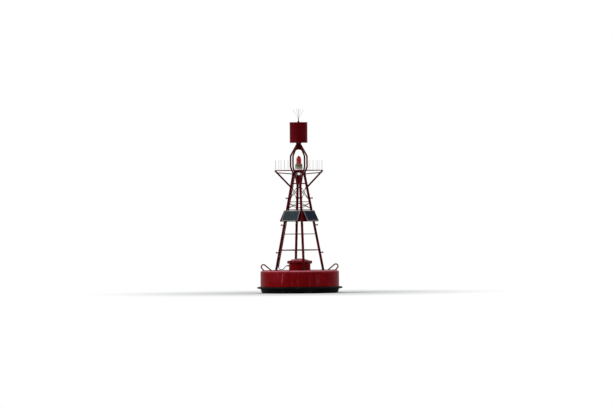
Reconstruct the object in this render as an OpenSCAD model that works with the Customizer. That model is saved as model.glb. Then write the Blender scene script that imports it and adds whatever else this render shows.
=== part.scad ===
// Lighted port-hand can buoy: round steel hull with a tail tube, a
// four-legged lattice tower, a solar skirt, a guarded lantern and a can
// topmark. Millimetres, +Z up. The origin is on the buoy's axis at its
// waterline. The legs stand on the X and Y axes.

/* [Hull] */
// Diameter of the hull's side
hull_d = 2400; // [2200:10:2600]
// Height of the deck above the waterline
deck_z = 690; // [640:5:740]
// Radius that rounds the deck's edge
deck_edge_r = 58; // [30:1:70]
// Height where the red topsides meet the black bottom
boot_z = 165; // [155:1:175]
// Depth of the knuckle where the side turns into the bottom cone
knuckle_z = -350; // [-420:5:-280]
// Radius of the hull at that knuckle
knuckle_r = 1049; // [980:1:1090]
// Depth of the flat under the bottom cone
cone_z = -620; // [-720:5:-560]
// Radius of the flat under the bottom cone
cone_r = 250; // [230:1:290]

/* [Fender] */
// Height of the fender's lower edge
fender_z = 130; // [115:1:140]
// Height of the fender's section
fender_h = 70; // [60:1:85]
// How far the fender stands out of the hull's side
fender_out = 105; // [80:1:120]

/* [Tail] */
// Outer diameter of the tail tube
tail_d = 406; // [360:1:440]
// Depth of the tail tube's lower end
tail_z = -2450; // [-2700:10:-2300]
// Diameter of the flange that closes the tail tube
tail_flange_d = 560; // [500:5:600]
// Thickness of that flange
tail_flange_t = 25; // [16:1:30]
// Diameter of a ballast ring
ballast_d = 760; // [650:5:820]
// Height of one ballast ring
ballast_h = 120; // [80:5:140]
// Number of ballast rings
ballast_n = 3; // [2:1:4]
// Number of gussets between the cone and the tail tube
gusset_n = 8; // [4:1:8]
// Thickness of a tail gusset
gusset_t = 12; // [8:1:16]
// How far a gusset reaches down the tail tube
gusset_h = 420; // [300:10:500]
// Radius that a gusset reaches under the cone
gusset_r = 700; // [550:10:800]
// Radius of the mooring eye's hole
moor_hole_r = 35; // [28:1:40]
// Radius of the rounded end round the mooring eye
moor_end_r = 85; // [75:1:95]
// Drop from the flange to the mooring eye's centre
moor_drop = 125; // [110:1:160]
// Thickness of the mooring lug
moor_t = 50; // [40:1:60]
// Width of the mooring lug at the flange
moor_w = 300; // [240:5:360]

/* [Battery pocket] */
// Outer radius of the pocket's tube
pocket_r = 329; // [300:1:345]
// Thickness of the pocket's wall
pocket_t = 8; // [6:0.5:12]
// Height of the pocket's closed floor, inside the hull
pocket_z = 180; // [170:5:240]
// Height of the top face of the coaming's flange
coaming_z = 936; // [900:2:960]
// How far the coaming's flange and the lid stand out round the tube
rim_w = 55; // [46:1:70]
// Thickness of the coaming's flange
flange_t = 22; // [16:1:26]
// Thickness of the hatch gasket
gasket_t = 6; // [4:0.5:8]
// Side of the square battery crate
crate_w = 400; // [360:5:420]
// Height of the battery crate
crate_h = 320; // [260:10:360]

/* [Hatch lid] */
// Thickness of the lid's flat rim
lid_rim_t = 20; // [14:1:24]
// Width of the lid's flat rim round its dish
dish_step = 50; // [40:1:64]
// Height of the dish above the rim
dish_h = 90; // [78:1:104]
// Thickness of the dish's plate
dish_t = 8; // [6:1:10]
// Distance from the rim's edge out to the hinge pin's axis
hinge_out = 30; // [28:1:40]
// Diameter of the hinge pin
hinge_pin_d = 20; // [16:1:24]
// Thickness of one ear of the hinge bracket
ear_t = 12; // [8:1:14]
// Width of the lid's knuckle between the ears
knuckle_w = 60; // [40:2:80]
// Diameter of the bar that the lid's handle is bent from
handle_d = 14; // [10:1:18]
// Length of the lid's handle between its feet
handle_w = 110; // [90:2:116]
// Height of the lid's handle above the rim
handle_h = 58; // [45:1:80]

/* [Lifting eyes] */
// Diameter of the bar that a lifting eye is bent from
eye_d = 40; // [32:1:44]
// Radius of the bar's bend in its round end
eye_bend_r = 68; // [60:1:76]
// How far the bend's centre stands outside the outer foot
eye_lean = 2; // [0:1:8]
// Height of the bend's centre above the deck
eye_h = 115; // [105:1:130]
// Gap between a leg's foot plate and the lifting eye's pad
eye_gap = 28; // [16:1:40]
// Distance from the outer foot to where the deck's edge starts to round
eye_edge = 24; // [20:1:40]
// Thickness of the pad under a lifting eye
eye_pad_t = 12; // [8:1:16]
// Width of the pad under a lifting eye
eye_pad_w = 96; // [70:2:110]

/* [Tower] */
// Outer diameter of a leg's tube
leg_d = 76.1; // [60:0.1:80]
// Radius from the buoy's axis to a leg's centre at deck level
leg_base_r = 729; // [710:1:745]
// Radius from the buoy's axis to a leg's centre under the head plate
leg_top_r = 177; // [165:1:180]
// Height of the head plate's lower face
head_z = 3585; // [3540:5:3620]
// Thickness of the head plate
head_t = 14; // [10:1:18]
// Radius of the head plate
head_r = 222; // [218:1:240]
// Thickness of the plate under a leg's foot
foot_t = 15; // [10:1:20]
// Side of the square plate under a leg's foot
foot_w = 170; // [150:2:200]
// Diameter of the lowest and of the head rungs
rung_d = 34; // [26:1:38]
// Diameter of the thin rungs
thin_rung_d = 21; // [16:1:26]
// Diameter of the cross braces
brace_d = 16; // [12:1:20]
// Heights of the lowest, middle, skirt and upper rungs
rung_z = [1308, 1797, 2540, 2779];
// How far the head rungs lie under the head plate
head_rung_drop = 248; // [230:1:260]
// How far under the head plate the upper braces end
brace_drop = 323; // [315:1:360]
// How far the ends of the braces stay from the rungs
brace_off = 30; // [26:1:40]
// Diameter of a climbing peg
peg_d = 32; // [24:1:38]
// Diameter of a climbing peg's head
peg_head_d = 56; // [46:1:64]
// Length of a climbing peg from the leg's centre to its end
peg_len = 105; // [90:1:120]
// Heights of the climbing pegs on each leg
peg_z = [1232, 2071, 2891];

/* [Solar skirt] */
// Height of the skirt's lower edge
skirt_z = 2178; // [2150:2:2200]
// Height of the skirt from edge to edge
skirt_h = 338; // [326:2:350]
// How far the skirt's lower corners stand out from the legs' centres
skirt_reach_low = 150; // [140:1:160]
// How far the skirt's upper corners stand out from the legs' centres
skirt_reach_top = 90; // [84:1:100]
// Thickness of the skirt's sheet
skirt_t = 4; // [3:0.5:6]
// Width of the lips that the skirt's edges are folded to
skirt_lip = 18; // [12:1:24]
// Width of a solar panel
panel_w = 575; // [540:5:590]
// Length of a solar panel up the slope
panel_l = 345; // [324:1:352]
// Depth of a panel's frame
panel_t = 25; // [22:1:30]
// Lean of the panels from the upright
panel_lean = 28; // [25:0.5:30]
// Gap between the skirt and a panel's back at the panel's upper edge
panel_gap = 6; // [4:0.5:10]
// Width of the bars of a panel's frame
frame_w = 18; // [14:1:24]
// Thickness of the rails and webs of the brackets that carry a panel
rail_t = 5; // [4:0.5:8]
// Thickness of the arms that carry the skirt
arm_t = 8; // [6:1:12]
// Width of the arms that carry the skirt
arm_w = 44; // [30:2:60]

/* [Guard frame] */
// Radius from the buoy's axis to the rail's corners
guard_r = 747; // [720:1:770]
// Height of the guard rail's centre above the head plate's lower face
guard_rise = 152; // [140:1:165]
// Diameter of the rail
guard_d = 27; // [22:1:34]
// Radius of the bend at the rail's corners
guard_bend_r = 42; // [36:1:60]
// Diameter of the struts that carry the rail
strut_d = 54; // [40:1:56]
// How far under the head plate the guard's struts leave the legs
strut_drop = 363; // [353:1:385]
// Height of a tie's inner end above the head plate's lower face
tie_rise = 45; // [38:1:56]
// How far a tie rises on its way out to the strut
tie_climb = 39; // [25:1:55]
// Diameter of the radial ties
tie_d = 30; // [20:1:34]
// Width of the upright lug that carries a tie
tie_lug_w = 40; // [36:1:44]
// Radius where a tie's lug stands on the head plate
tie_foot_r = 196; // [190:1:200]
// Diameter of a bird wire
wire_d = 5; // [4:0.5:7]
// Height of a bird wire above the rail
wire_h = 300; // [200:5:340]
// Number of bird wires along one side of the guard
wire_n = 7; // [5:1:9]

/* [Lantern] */
// Height of the lantern table's top above the head plate's lower face
table_rise = 150; // [140:1:160]
// Radius of the lantern table
table_r = 165; // [150:1:175]
// Depth of the lantern table's rim
table_h = 72; // [56:1:76]
// Thickness of the lantern table's plate and rim
table_t = 10; // [8:1:14]
// Radius of the circle of studs under the table
stud_circle_r = 115; // [100:1:125]
// Diameter of a stud under the table
stud_d = 18; // [14:1:22]
// Radius of the lantern's mounting flange
lamp_flange_r = 122; // [115:1:130]
// Height of the lantern's pale base
lamp_base_h = 54; // [44:1:60]
// Radius of the lantern's housing
lamp_body_r = 116; // [108:1:120]
// Height of the lantern's housing
lamp_body_h = 150; // [130:1:160]
// Radius of the lens
lens_r = 76; // [70:1:82]
// Height of the straight part of the lens
lens_h = 150; // [135:1:170]
// Height of the dome on the lens
lens_tip_h = 99; // [80:1:110]
// Pitch of the ribs round the lens
lens_pitch = 14; // [10:1:20]
// Depth of the ribs round the lens
lens_rib = 4; // [2:0.5:6]
// Thickness of the lens between its ribs
lens_wall = 5; // [3:0.5:8]
// Radius of the rings of light emitters inside the lens
stack_r = 40; // [30:1:50]
// Distance from one ring of emitters to the next
stack_pitch = 26; // [18:1:40]

/* [Lantern cage] */
// Radius from the buoy's axis to the straight part of a cage bar
cage_r = 306; // [300:1:315]
// Radius where a cage bar stands on the head plate
cage_foot_r = 190; // [186:1:192]
// Radius where a cage bar meets the crown plate
cage_top_r = 42; // [40:1:60]
// Diameter of a cage bar
cage_d = 51; // [40:1:54]
// Heights above the head plate where a cage bar bends outward and inward
cage_bend_rise = [255, 590];
// Radius of the bends in a cage bar
cage_bend_r = 90; // [60:1:110]
// Drop from the can to the lower corner of the gussets under the crown
cage_gusset_drop = 232; // [208:1:250]
// Thickness of those gussets
cage_gusset_t = 8; // [6:1:12]

/* [Topmark] */
// Height of the can's lower face above the head plate's lower face
can_rise = 993; // [975:1:1015]
// Diameter of the can
can_d = 548; // [500:1:600]
// Height of the can
can_h = 628; // [580:1:680]
// Height and depth of the rolled rims on the can
can_rim = 12; // [8:1:16]
// Diameter of the boss on the can
boss_d = 62; // [50:1:80]
// Height of the boss on the can
boss_h = 30; // [20:1:40]
// Diameter of the spigot that holds the bird wires
spigot_d = 28; // [22:1:36]
// Height of the spigot
spigot_h = 84; // [60:1:100]
// Length of a bird wire on the spigot
spike_l = 330; // [250:5:360]
// Lean of the outer bird wires from the vertical
spike_lean = 33; // [20:1:45]
// Number of outer bird wires on the spigot
spike_n = 6; // [3:1:8]
// Thickness of the crown plate under the can
crown_t = 12; // [8:1:16]
// Radius of the crown plate
crown_r = 80; // [76:1:100]

/* [Cable] */
// Diameter of the cable between the tower and the coaming
cable_d = 22; // [16:1:24]
// Height of the cable gland on the coaming
gland_z = 833; // [800:1:860]
// Diameter of the cable gland
gland_d = 40; // [34:1:46]
// Length of the cable gland
gland_l = 50; // [40:1:60]
// Outer diameter of the conduit
conduit_d = 27; // [21:0.5:34]
// Height of the conduit's lower end
conduit_z = 820; // [800:1:840]
// Heights of the conduit's clips
clip_z = [930, 1480, 2000, 2700, 3050, 3480];
// Length of a conduit clip
clip_l = 24; // [16:1:30]

/* [Fits] */
// Gap left between two pieces that seat on each other
seat = 0.3; // [0.2:0.05:0.5]
// Radial clearance of the hinge pin in the lid's knuckle
pin_gap = 0.08; // [0.03:0.01:0.1]
// Gap on each side of the lid's knuckle between the ears
knuckle_gap = 2; // [1:0.5:4]

/* [Hidden] */
$fn = 48;

leg_slope = (leg_base_r - leg_top_r) / (head_z - deck_z);
leg_lean = atan(leg_slope);
foot_top_z = deck_z + seat + foot_t;
head_top_z = head_z + head_t;
brace_top_z = head_z - brace_drop;

rim_r = pocket_r + rim_w;
dish_r = rim_r - dish_step;
hinge_r = rim_r + hinge_out;
hinge_dir = 45;
lid_z = coaming_z + seat + gasket_t + seat;
lid_rim_top_z = lid_z + lid_rim_t;
hinge_z = lid_z + lid_rim_t / 2;
hinge_eye_r = 20;
crate_z = pocket_z + pocket_t + seat;

tail_flange_z = tail_z - tail_flange_t;
ballast_r_in = tail_d / 2 + seat;
eye_foot_z = deck_z + seat + eye_pad_t;
eye_foot_in = leg_base_r + foot_w / 2 + eye_gap + eye_pad_w / 2;
eye_foot_out = hull_d / 2 - deck_edge_r - eye_edge;

skirt_low_r = leg_r(skirt_z) + skirt_reach_low;
skirt_top_r = leg_r(skirt_z + skirt_h) + skirt_reach_top;
skirt_slope = (skirt_low_r - skirt_top_r) / skirt_h;
face_tilt = atan(skirt_slope * cos(45));
face_mid_z = skirt_z + skirt_h / 2;
face_mid_r = (skirt_low_r + skirt_top_r) / 2 * cos(45);
panel_top_z = face_mid_z + panel_l / 2 * cos(panel_lean);
panel_mid_r = skirt_r(panel_top_z) * cos(45) + panel_gap + panel_l / 2 * sin(panel_lean);

guard_z = head_z + guard_rise;
strut_z = head_z - strut_drop;
tie_z = head_z + tie_rise;
strut_top_z = guard_z - guard_d / 2 - seat;
strut_top_r = guard_r - guard_bend_r * (sqrt(2) - 1);
strut_rise = (strut_top_z - strut_z) / (strut_top_r - leg_r(strut_z));
bend_step = 9;

table_z = head_z + table_rise;
lamp_z = table_z + seat;
lamp_body_z = lamp_z + lamp_base_h + seat;
lens_z = lamp_body_z + lamp_body_h + seat;

cage_foot_z = head_top_z + seat;
can_z = head_z + can_rise;
cage_gusset_z = can_z - cage_gusset_drop;
cage_bend_z = [head_z + cage_bend_rise[0], head_z + cage_bend_rise[1]];
crown_z = can_z - seat - crown_t;
cage_end_z = crown_z - seat;
cage_path = [
    [cage_foot_r, cage_foot_z],
    [cage_r, cage_bend_z[0]],
    [cage_r, cage_bend_z[1]],
    [cage_top_r, cage_end_z]
];
cage_top_lean = atan((cage_r - cage_top_r) / (cage_end_z - cage_bend_z[1]));

conduit_off = leg_d / 2 + 2 + conduit_d / 2;
cable_face_x = -(pocket_r + seat + gland_l);
// The cable's route from the gland to the conduit, as x and z
cable_route = [
    [cable_face_x, gland_z],
    [-403.7, 829.6],
    [-426.2, 819.8],
    [-445.2, 804.3],
    [-470.3, 772.9],
    [-495.5, 741.6],
    [-515.5, 725.4],
    [-539.2, 715.6],
    [-564.8, 712.9],
    [-590.1, 717.6],
    [-613.1, 729.2],
    [-631.8, 746.8],
    [-644.8, 769],
    [-651, 794],
    [-(leg_r(conduit_z - seat) - conduit_off / cos(leg_lean)), conduit_z - seat]
];

// Distance from the buoy's axis to a leg's centre at height z
function leg_r(z) = leg_base_r - leg_slope * (z - deck_z);

// Height of the bottom cone's surface at radius r
function cone_at(r) =
    cone_z + (r - cone_r) * (knuckle_z - cone_z) / (knuckle_r - cone_r);

// Radius of the skirt's corners at height z
function skirt_r(z) = skirt_low_r - skirt_slope * (z - skirt_z);

// Distance from the buoy's axis to a strut's centre at height z
function strut_r(z) = leg_r(strut_z) + (z - strut_z) / strut_rise;

// Direction of a step from a to b in a plane, in degrees
function heading(a, b) = atan2(b[1] - a[1], b[0] - a[0]);

// Turn from one heading to the next, between -180 and 180 degrees
function turn(pts, i) =
    let (t = heading(pts[i], pts[i + 1]) - heading(pts[i - 1], pts[i]))
    t > 180 ? t - 360 : t < -180 ? t + 360 : t;

// Length that a bend of radius r takes off each side of corner i
function bend_cut(pts, i, r) =
    i == 0 || i == len(pts) - 1 ? 0 : r * tan(abs(turn(pts, i)) / 2);

// Point at a distance from a towards b
function along(a, b, d) = a + (b - a) * d / norm(b - a);

// A round bar from point p to point q
module bar(p, q, d) {
    v = q - p;
    translate(p)
        rotate([0, acos(v[2] / norm(v)), atan2(v[1], v[0])])
            cylinder(h = norm(v), d = d);
}

// Stations round corner i of a path, a few degrees apart. A station is a
// point, the heading there and 1 where the bar ends in a level cut.
function bend_stations(pts, i, r) =
    let (
        t = turn(pts, i),
        h = heading(pts[i - 1], pts[i]),
        side = t > 0 ? 1 : -1,
        start = along(pts[i], pts[i - 1], bend_cut(pts, i, r)),
        centre = start + side * r * [-sin(h), cos(h)],
        n = ceil(abs(t) / bend_step)
    )
    [for (k = [0:n])
        let (a = h + t * k / n)
        [centre + side * r * [sin(a), -cos(a)], a, 0]];

// Stations along a bar that is bent at each inner point of a path
function bent_stations(pts, r, cut) =
    let (last = len(pts) - 1)
    concat(
        [[pts[0], heading(pts[0], pts[1]), cut]],
        [for (i = [1:last - 1]) each bend_stations(pts, i, r)],
        [[pts[last], heading(pts[last - 1], pts[last]), cut]]
    );

// The ring of points round one station. X is radius and Z is height.
function station_ring(s, d, n) =
    [for (k = [0:n - 1])
        let (u = cos(360 * k / n) * d / 2, v = sin(360 * k / n) * d / 2)
        s[2] == 1 ?
            [s[0][0] - u / sin(s[1]), v, s[0][1]] :
            [s[0][0] - u * sin(s[1]), v, s[0][1] + u * cos(s[1])]];

// A round bar swept along stations, closed on itself or with flat ends
module swept_bar(stations, d, n, closed = false) {
    count = len(stations);
    spans = closed ? count : count - 1;
    points = [for (s = stations) each station_ring(s, d, n)];
    walls = [
        for (i = [0:spans - 1])
            for (k = [0:n - 1])
                let (a = i * n, b = (i + 1) % count * n, j = (k + 1) % n)
                [a + k, a + j, b + j, b + k]
    ];
    ends = closed ? [] : [
        [for (k = [0:n - 1]) n - 1 - k],
        [for (k = [0:n - 1]) (count - 1) * n + k]
    ];
    polyhedron(points, concat(walls, ends));
}

// A leg's round tube on the X axis, grown by extra all round
module leg_shape(extra = 0) {
    bar([leg_r(0), 0, 0], [leg_r(head_z + foot_w), 0, head_z + foot_w],
        leg_d + 2 * extra);
}

// Cuts that shape a bar to the two legs it runs between
module between_legs() {
    difference() {
        children();
        for (turned = [0, 90])
            rotate([0, 0, turned])
                leg_shape(seat);
    }
}

// Places its children on each of the four legs
module on_legs() {
    for (k = [0:3])
        rotate([0, 0, 90 * k])
            children();
}

// Places its children on each of the four sides between the legs
module on_sides() {
    for (k = [0:3])
        rotate([0, 0, 90 * k + 45])
            children();
}

module hull_upper() {
    side_r = hull_d / 2;
    color("firebrick")
        rotate_extrude($fn = 96)
            difference() {
                union() {
                    translate([0, boot_z])
                        square([side_r, deck_z - deck_edge_r - boot_z]);
                    translate([0, boot_z])
                        square([side_r - deck_edge_r, deck_z - boot_z]);
                    translate([side_r - deck_edge_r, deck_z - deck_edge_r])
                        circle(r = deck_edge_r);
                }
                translate([-1, pocket_z - seat])
                    square([pocket_r + seat + 1, deck_z]);
            }
}

module hull_bottom() {
    side_r = hull_d / 2;
    color("#151515")
        rotate_extrude($fn = 96)
            polygon([
                [0, boot_z - seat],
                [side_r, boot_z - seat],
                [side_r, fender_z],
                [knuckle_r, knuckle_z],
                [cone_r, cone_z],
                [0, cone_z]
            ]);
}

module fender_ring() {
    in_r = hull_d / 2 + seat;
    nose_r = fender_h * 0.36;
    out_r = hull_d / 2 + fender_out;
    mid_z = fender_z + fender_h / 2;
    color("#101010")
        rotate_extrude($fn = 96)
            union() {
                polygon([
                    [in_r, fender_z],
                    [out_r - nose_r, mid_z - nose_r],
                    [out_r - nose_r, mid_z + nose_r],
                    [in_r, fender_z + fender_h]
                ]);
                translate([out_r - nose_r, mid_z])
                    circle(r = nose_r);
            }
}

module tail_tube() {
    color("#181818")
        union() {
            translate([0, 0, tail_z])
                cylinder(h = cone_z - seat - tail_z, d = tail_d);
            translate([0, 0, tail_flange_z])
                cylinder(h = tail_flange_t, d = tail_flange_d);
        }
}

module tail_gussets() {
    foot_r = tail_d / 2 + seat;
    lip = 45;
    color("#181818")
        for (k = [0:gusset_n - 1])
            rotate([0, 0, 360 / gusset_n * (k + 0.5)])
                translate([0, gusset_t / 2, 0])
                    rotate([90, 0, 0])
                        linear_extrude(gusset_t)
                            polygon([
                                [foot_r, cone_z - gusset_h],
                                [foot_r + lip, cone_z - gusset_h],
                                [gusset_r, cone_at(gusset_r) - lip],
                                [gusset_r, cone_at(gusset_r) - 2 * seat],
                                [cone_r, cone_z - 2 * seat],
                                [foot_r, cone_z - 2 * seat]
                            ]);
}

module ballast_rings() {
    step = ballast_h + seat;
    bevel = 8;
    color("#2b2623")
        for (k = [0:ballast_n - 1])
            translate([0, 0, tail_z + seat + step * k])
                rotate_extrude($fn = 72)
                    polygon([
                        [ballast_r_in, 0],
                        [ballast_d / 2 - bevel, 0],
                        [ballast_d / 2, bevel],
                        [ballast_d / 2, ballast_h - bevel],
                        [ballast_d / 2 - bevel, ballast_h],
                        [ballast_r_in, ballast_h]
                    ]);
}

module mooring_lug() {
    top_z = tail_flange_z - seat;
    eye_z = tail_flange_z - moor_drop;
    neck = acos(moor_end_r / norm([moor_w / 2, moor_drop - seat]));
    side = atan2(moor_drop - seat, moor_w / 2) - neck;
    color("#1c1c1c")
        translate([0, moor_t / 2, 0])
            rotate([90, 0, 0])
                linear_extrude(moor_t)
                    difference() {
                        union() {
                            polygon([
                                [-moor_w / 2, top_z],
                                [-moor_end_r * cos(side), eye_z + moor_end_r * sin(side)],
                                [moor_end_r * cos(side), eye_z + moor_end_r * sin(side)],
                                [moor_w / 2, top_z]
                            ]);
                            translate([0, eye_z])
                                circle(r = moor_end_r);
                        }
                        translate([0, eye_z])
                            circle(r = moor_hole_r);
                    }
}

module battery_pocket() {
    color("firebrick")
        rotate_extrude($fn = 96)
            polygon([
                [0, pocket_z],
                [pocket_r, pocket_z],
                [pocket_r, coaming_z - flange_t],
                [rim_r, coaming_z - flange_t],
                [rim_r, coaming_z],
                [pocket_r - pocket_t, coaming_z],
                [pocket_r - pocket_t, pocket_z + pocket_t],
                [0, pocket_z + pocket_t]
            ]);
}

module battery_crate() {
    color("#3a3d40")
        translate([-crate_w / 2, -crate_w / 2, crate_z])
            cube([crate_w, crate_w, crate_h]);
}

module hatch_gasket() {
    color("#202020")
        translate([0, 0, coaming_z + seat])
            difference() {
                cylinder(h = gasket_t, r = rim_r - 4, $fn = 96);
                translate([0, 0, -1])
                    cylinder(h = gasket_t + 2, r = pocket_r, $fn = 96);
            }
}

// Outline of the dish: a low cap of a sphere on a short upright edge
module dish_outline(r, h, edge) {
    cap = h - edge;
    ball_r = (r * r + cap * cap) / (2 * cap);
    polygon(concat(
        [[0, 0], [r, 0]],
        [for (k = [10:-1:0])
            [r * k / 10, h - ball_r + sqrt(pow(ball_r, 2) - pow(r * k / 10, 2))]]
    ));
}

module hatch_lid() {
    dish_edge = 12;
    color("firebrick") {
        difference() {
            union() {
                rotate_extrude($fn = 96)
                    translate([0, lid_z])
                        union() {
                            square([rim_r, lid_rim_t]);
                            translate([0, lid_rim_t])
                                dish_outline(dish_r, dish_h, dish_edge);
                        }
                rotate([0, 0, hinge_dir])
                    lid_knuckle();
            }
            rotate_extrude($fn = 96)
                translate([0, lid_z - dish_t])
                    union() {
                        square([dish_r - dish_t, dish_t]);
                        translate([0, dish_t])
                            square([dish_r - dish_t, lid_rim_t]);
                        translate([0, dish_t + lid_rim_t])
                            dish_outline(dish_r - dish_t, dish_h - dish_t, dish_edge - dish_t);
                    }
            rotate([0, 0, hinge_dir])
                hinge_axis_cylinder(hinge_pin_d + 2 * pin_gap, knuckle_w + 2);
        }
    }
}

// A cylinder centred on the hinge's axis, before it is turned to the side
module hinge_axis_cylinder(d, length) {
    translate([hinge_r, length / 2, hinge_z])
        rotate([90, 0, 0])
            cylinder(h = length, d = d);
}

module lid_knuckle() {
    hinge_axis_cylinder(2 * hinge_eye_r, knuckle_w);
    translate([rim_r - 20, -knuckle_w / 2, lid_z])
        cube([hinge_r - rim_r + 20, knuckle_w, lid_rim_t]);
}

module hinge_bracket() {
    in_y = knuckle_w / 2 + knuckle_gap;
    root_z = coaming_z - flange_t - seat;
    color("firebrick")
        rotate([0, 0, hinge_dir])
            for (side = [-1, 1])
                translate([0, side * (in_y + ear_t / 2), 0])
                    difference() {
                        translate([0, ear_t / 2, 0])
                            rotate([90, 0, 0])
                                linear_extrude(ear_t)
                                    union() {
                                        polygon([
                                            [pocket_r, root_z - 90],
                                            [pocket_r + 22, root_z - 90],
                                            [hinge_r + hinge_eye_r, root_z - 12],
                                            [hinge_r + hinge_eye_r, hinge_z],
                                            [rim_r + 7, hinge_z],
                                            [rim_r + 7, root_z],
                                            [pocket_r, root_z]
                                        ]);
                                        translate([hinge_r, hinge_z])
                                            circle(r = hinge_eye_r);
                                    }
                        cylinder(h = 3 * deck_z, r = pocket_r + seat, center = true, $fn = 96);
                        hinge_axis_cylinder(hinge_pin_d + 2 * pin_gap, 4 * ear_t);
                    }
}

module hinge_pin() {
    span = knuckle_w + 2 * knuckle_gap + 2 * ear_t + 6;
    color("#9a9c9e")
        rotate([0, 0, hinge_dir]) {
            hinge_axis_cylinder(hinge_pin_d, span);
            for (side = [-1, 1])
                translate([0, side * (span / 2 + 3), 0])
                    hinge_axis_cylinder(hinge_pin_d + 10, 6);
        }
}

module lid_handle() {
    foot_z = lid_rim_top_z + seat;
    mid_r = (rim_r + dish_r) / 2;
    color("firebrick")
        rotate([0, 0, hinge_dir + 180])
            translate([mid_r, 0, 0])
                rotate([0, 0, 90])
                    swept_bar(bent_stations([
                        [-handle_w / 2, foot_z],
                        [-handle_w / 2, foot_z + handle_h],
                        [handle_w / 2, foot_z + handle_h],
                        [handle_w / 2, foot_z]
                    ], 1.6 * handle_d, 1), handle_d, 12);
}

// A lifting eye's bar runs from its inner foot over a round end to its
// outer foot. Both straight stretches touch the bend at its tangents, and
// the bar stands on a pad on the deck.
module lifting_eye() {
    c = [eye_foot_out + eye_lean, deck_z + eye_h];
    foot_in = [eye_foot_in, eye_foot_z + seat];
    foot_out = [eye_foot_out, eye_foot_z + seat];
    a_in = heading(c, foot_in) + 360 - acos(eye_bend_r / norm(foot_in - c));
    a_out = heading(c, foot_out) + acos(eye_bend_r / norm(foot_out - c));
    steps = ceil((a_in - a_out) / bend_step);
    color("firebrick") {
        swept_bar(concat(
            [[foot_in, a_in - 90, 1]],
            [for (k = [0:steps])
                let (a = a_in + (a_out - a_in) * k / steps)
                [c + eye_bend_r * [cos(a), sin(a)], a - 90, 0]],
            [[foot_out, a_out - 90, 1]]
        ), eye_d, 16);
        translate([0, 0, deck_z + seat])
            linear_extrude(eye_pad_t)
                union() {
                    translate([eye_foot_in, -eye_pad_w / 2])
                        square([eye_foot_out + eye_d / 2 - eye_foot_in, eye_pad_w]);
                    translate([eye_foot_in, 0])
                        circle(d = eye_pad_w);
                }
    }
}

module lifting_eye_left() {
    rotate([0, 0, 180])
        lifting_eye();
}

module lifting_eye_right() {
    lifting_eye();
}

module foot_plates() {
    rib_t = 10;
    rib_h = 110;
    rib_w = foot_w / 2 - 6;
    color("firebrick")
        on_legs()
            difference() {
                union() {
                    translate([leg_r(foot_top_z), 0, deck_z + seat + foot_t / 2])
                        cube([foot_w, foot_w, foot_t], center = true);
                    for (side = [-1, 1])
                        translate([leg_r(foot_top_z) + rib_t / 2, 0, foot_top_z])
                            rotate([0, -90, 0])
                                linear_extrude(rib_t)
                                    polygon([
                                        [0, side * leg_d / 3],
                                        [rib_h, side * leg_d / 3],
                                        [rib_h, side * (leg_d / 2 + 14)],
                                        [14, side * rib_w],
                                        [0, side * rib_w]
                                    ]);
                }
                translate([0, 0, foot_top_z])
                    intersection() {
                        translate([0, 0, -foot_top_z])
                            leg_shape(seat);
                        translate([0, -foot_w, 0])
                            cube([2 * leg_base_r, 2 * foot_w, 2 * foot_w]);
                    }
            }
}

// One leg: the tube between its foot plate and the head plate
module leg() {
    color("firebrick")
        intersection() {
            leg_shape();
            translate([0, -leg_d, foot_top_z + seat])
                cube([2 * leg_base_r, 2 * leg_d, head_z - foot_top_z - 2 * seat]);
        }
}

module leg_front() {
    rotate([0, 0, -90])
        leg();
}

module leg_right() {
    leg();
}

module leg_back() {
    rotate([0, 0, 90])
        leg();
}

module leg_left() {
    rotate([0, 0, 180])
        leg();
}

// Four rungs at height z, coped to the legs at both ends
module rung_ring(z, d) {
    color("firebrick")
        on_legs()
            between_legs()
                bar([leg_r(z), 0, z], [0, leg_r(z), z], d);
}

module rungs_low() {
    rung_ring(rung_z[0], rung_d);
}

module rungs_mid() {
    rung_ring(rung_z[1], thin_rung_d);
}

module rungs_skirt() {
    rung_ring(rung_z[2], thin_rung_d);
}

module rungs_upper() {
    rung_ring(rung_z[3], thin_rung_d);
}

module rungs_head() {
    rung_ring(head_z - head_rung_drop, rung_d);
}

// Crossed braces on each side between two heights. One runs through, and
// the other is cut where it meets it.
module brace_bay(low_z, high_z) {
    color("firebrick")
        on_legs()
            between_legs() {
                bar([leg_r(low_z), 0, low_z], [0, leg_r(high_z), high_z], brace_d);
                difference() {
                    bar([0, leg_r(low_z), low_z], [leg_r(high_z), 0, high_z], brace_d);
                    bar([leg_r(low_z), 0, low_z], [0, leg_r(high_z), high_z],
                        brace_d + 2 * seat);
                }
            }
}

module braces_lower() {
    brace_bay(rung_z[2] + brace_off, rung_z[3] - brace_off);
}

module braces_upper() {
    brace_bay(rung_z[3] + brace_off, brace_top_z);
}

module climbing_pegs() {
    head_l = 18;
    color("firebrick")
        for (z = peg_z)
            on_legs()
                difference() {
                    union() {
                        bar([leg_r(z), 0, z], [leg_r(z) + peg_len, 0, z], peg_d);
                        bar([leg_r(z) + peg_len - head_l, 0, z],
                            [leg_r(z) + peg_len, 0, z], peg_head_d);
                    }
                    leg_shape(seat);
                }
}

// Flat arms from the legs out to the skirt's inner corners
module skirt_arms() {
    inset = (skirt_t * sqrt(2) + seat) / cos(face_tilt);
    color("firebrick")
        for (z = [skirt_z + 24, skirt_z + skirt_h - 40])
            on_legs()
                difference() {
                    translate([0, 0, z])
                        linear_extrude(arm_t)
                            intersection() {
                                translate([leg_r(z), -arm_w / 2])
                                    square([skirt_low_r, arm_w]);
                                circle(r = skirt_r(z + arm_t) - inset, $fn = 4);
                            }
                    leg_shape(seat);
                }
}

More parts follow.
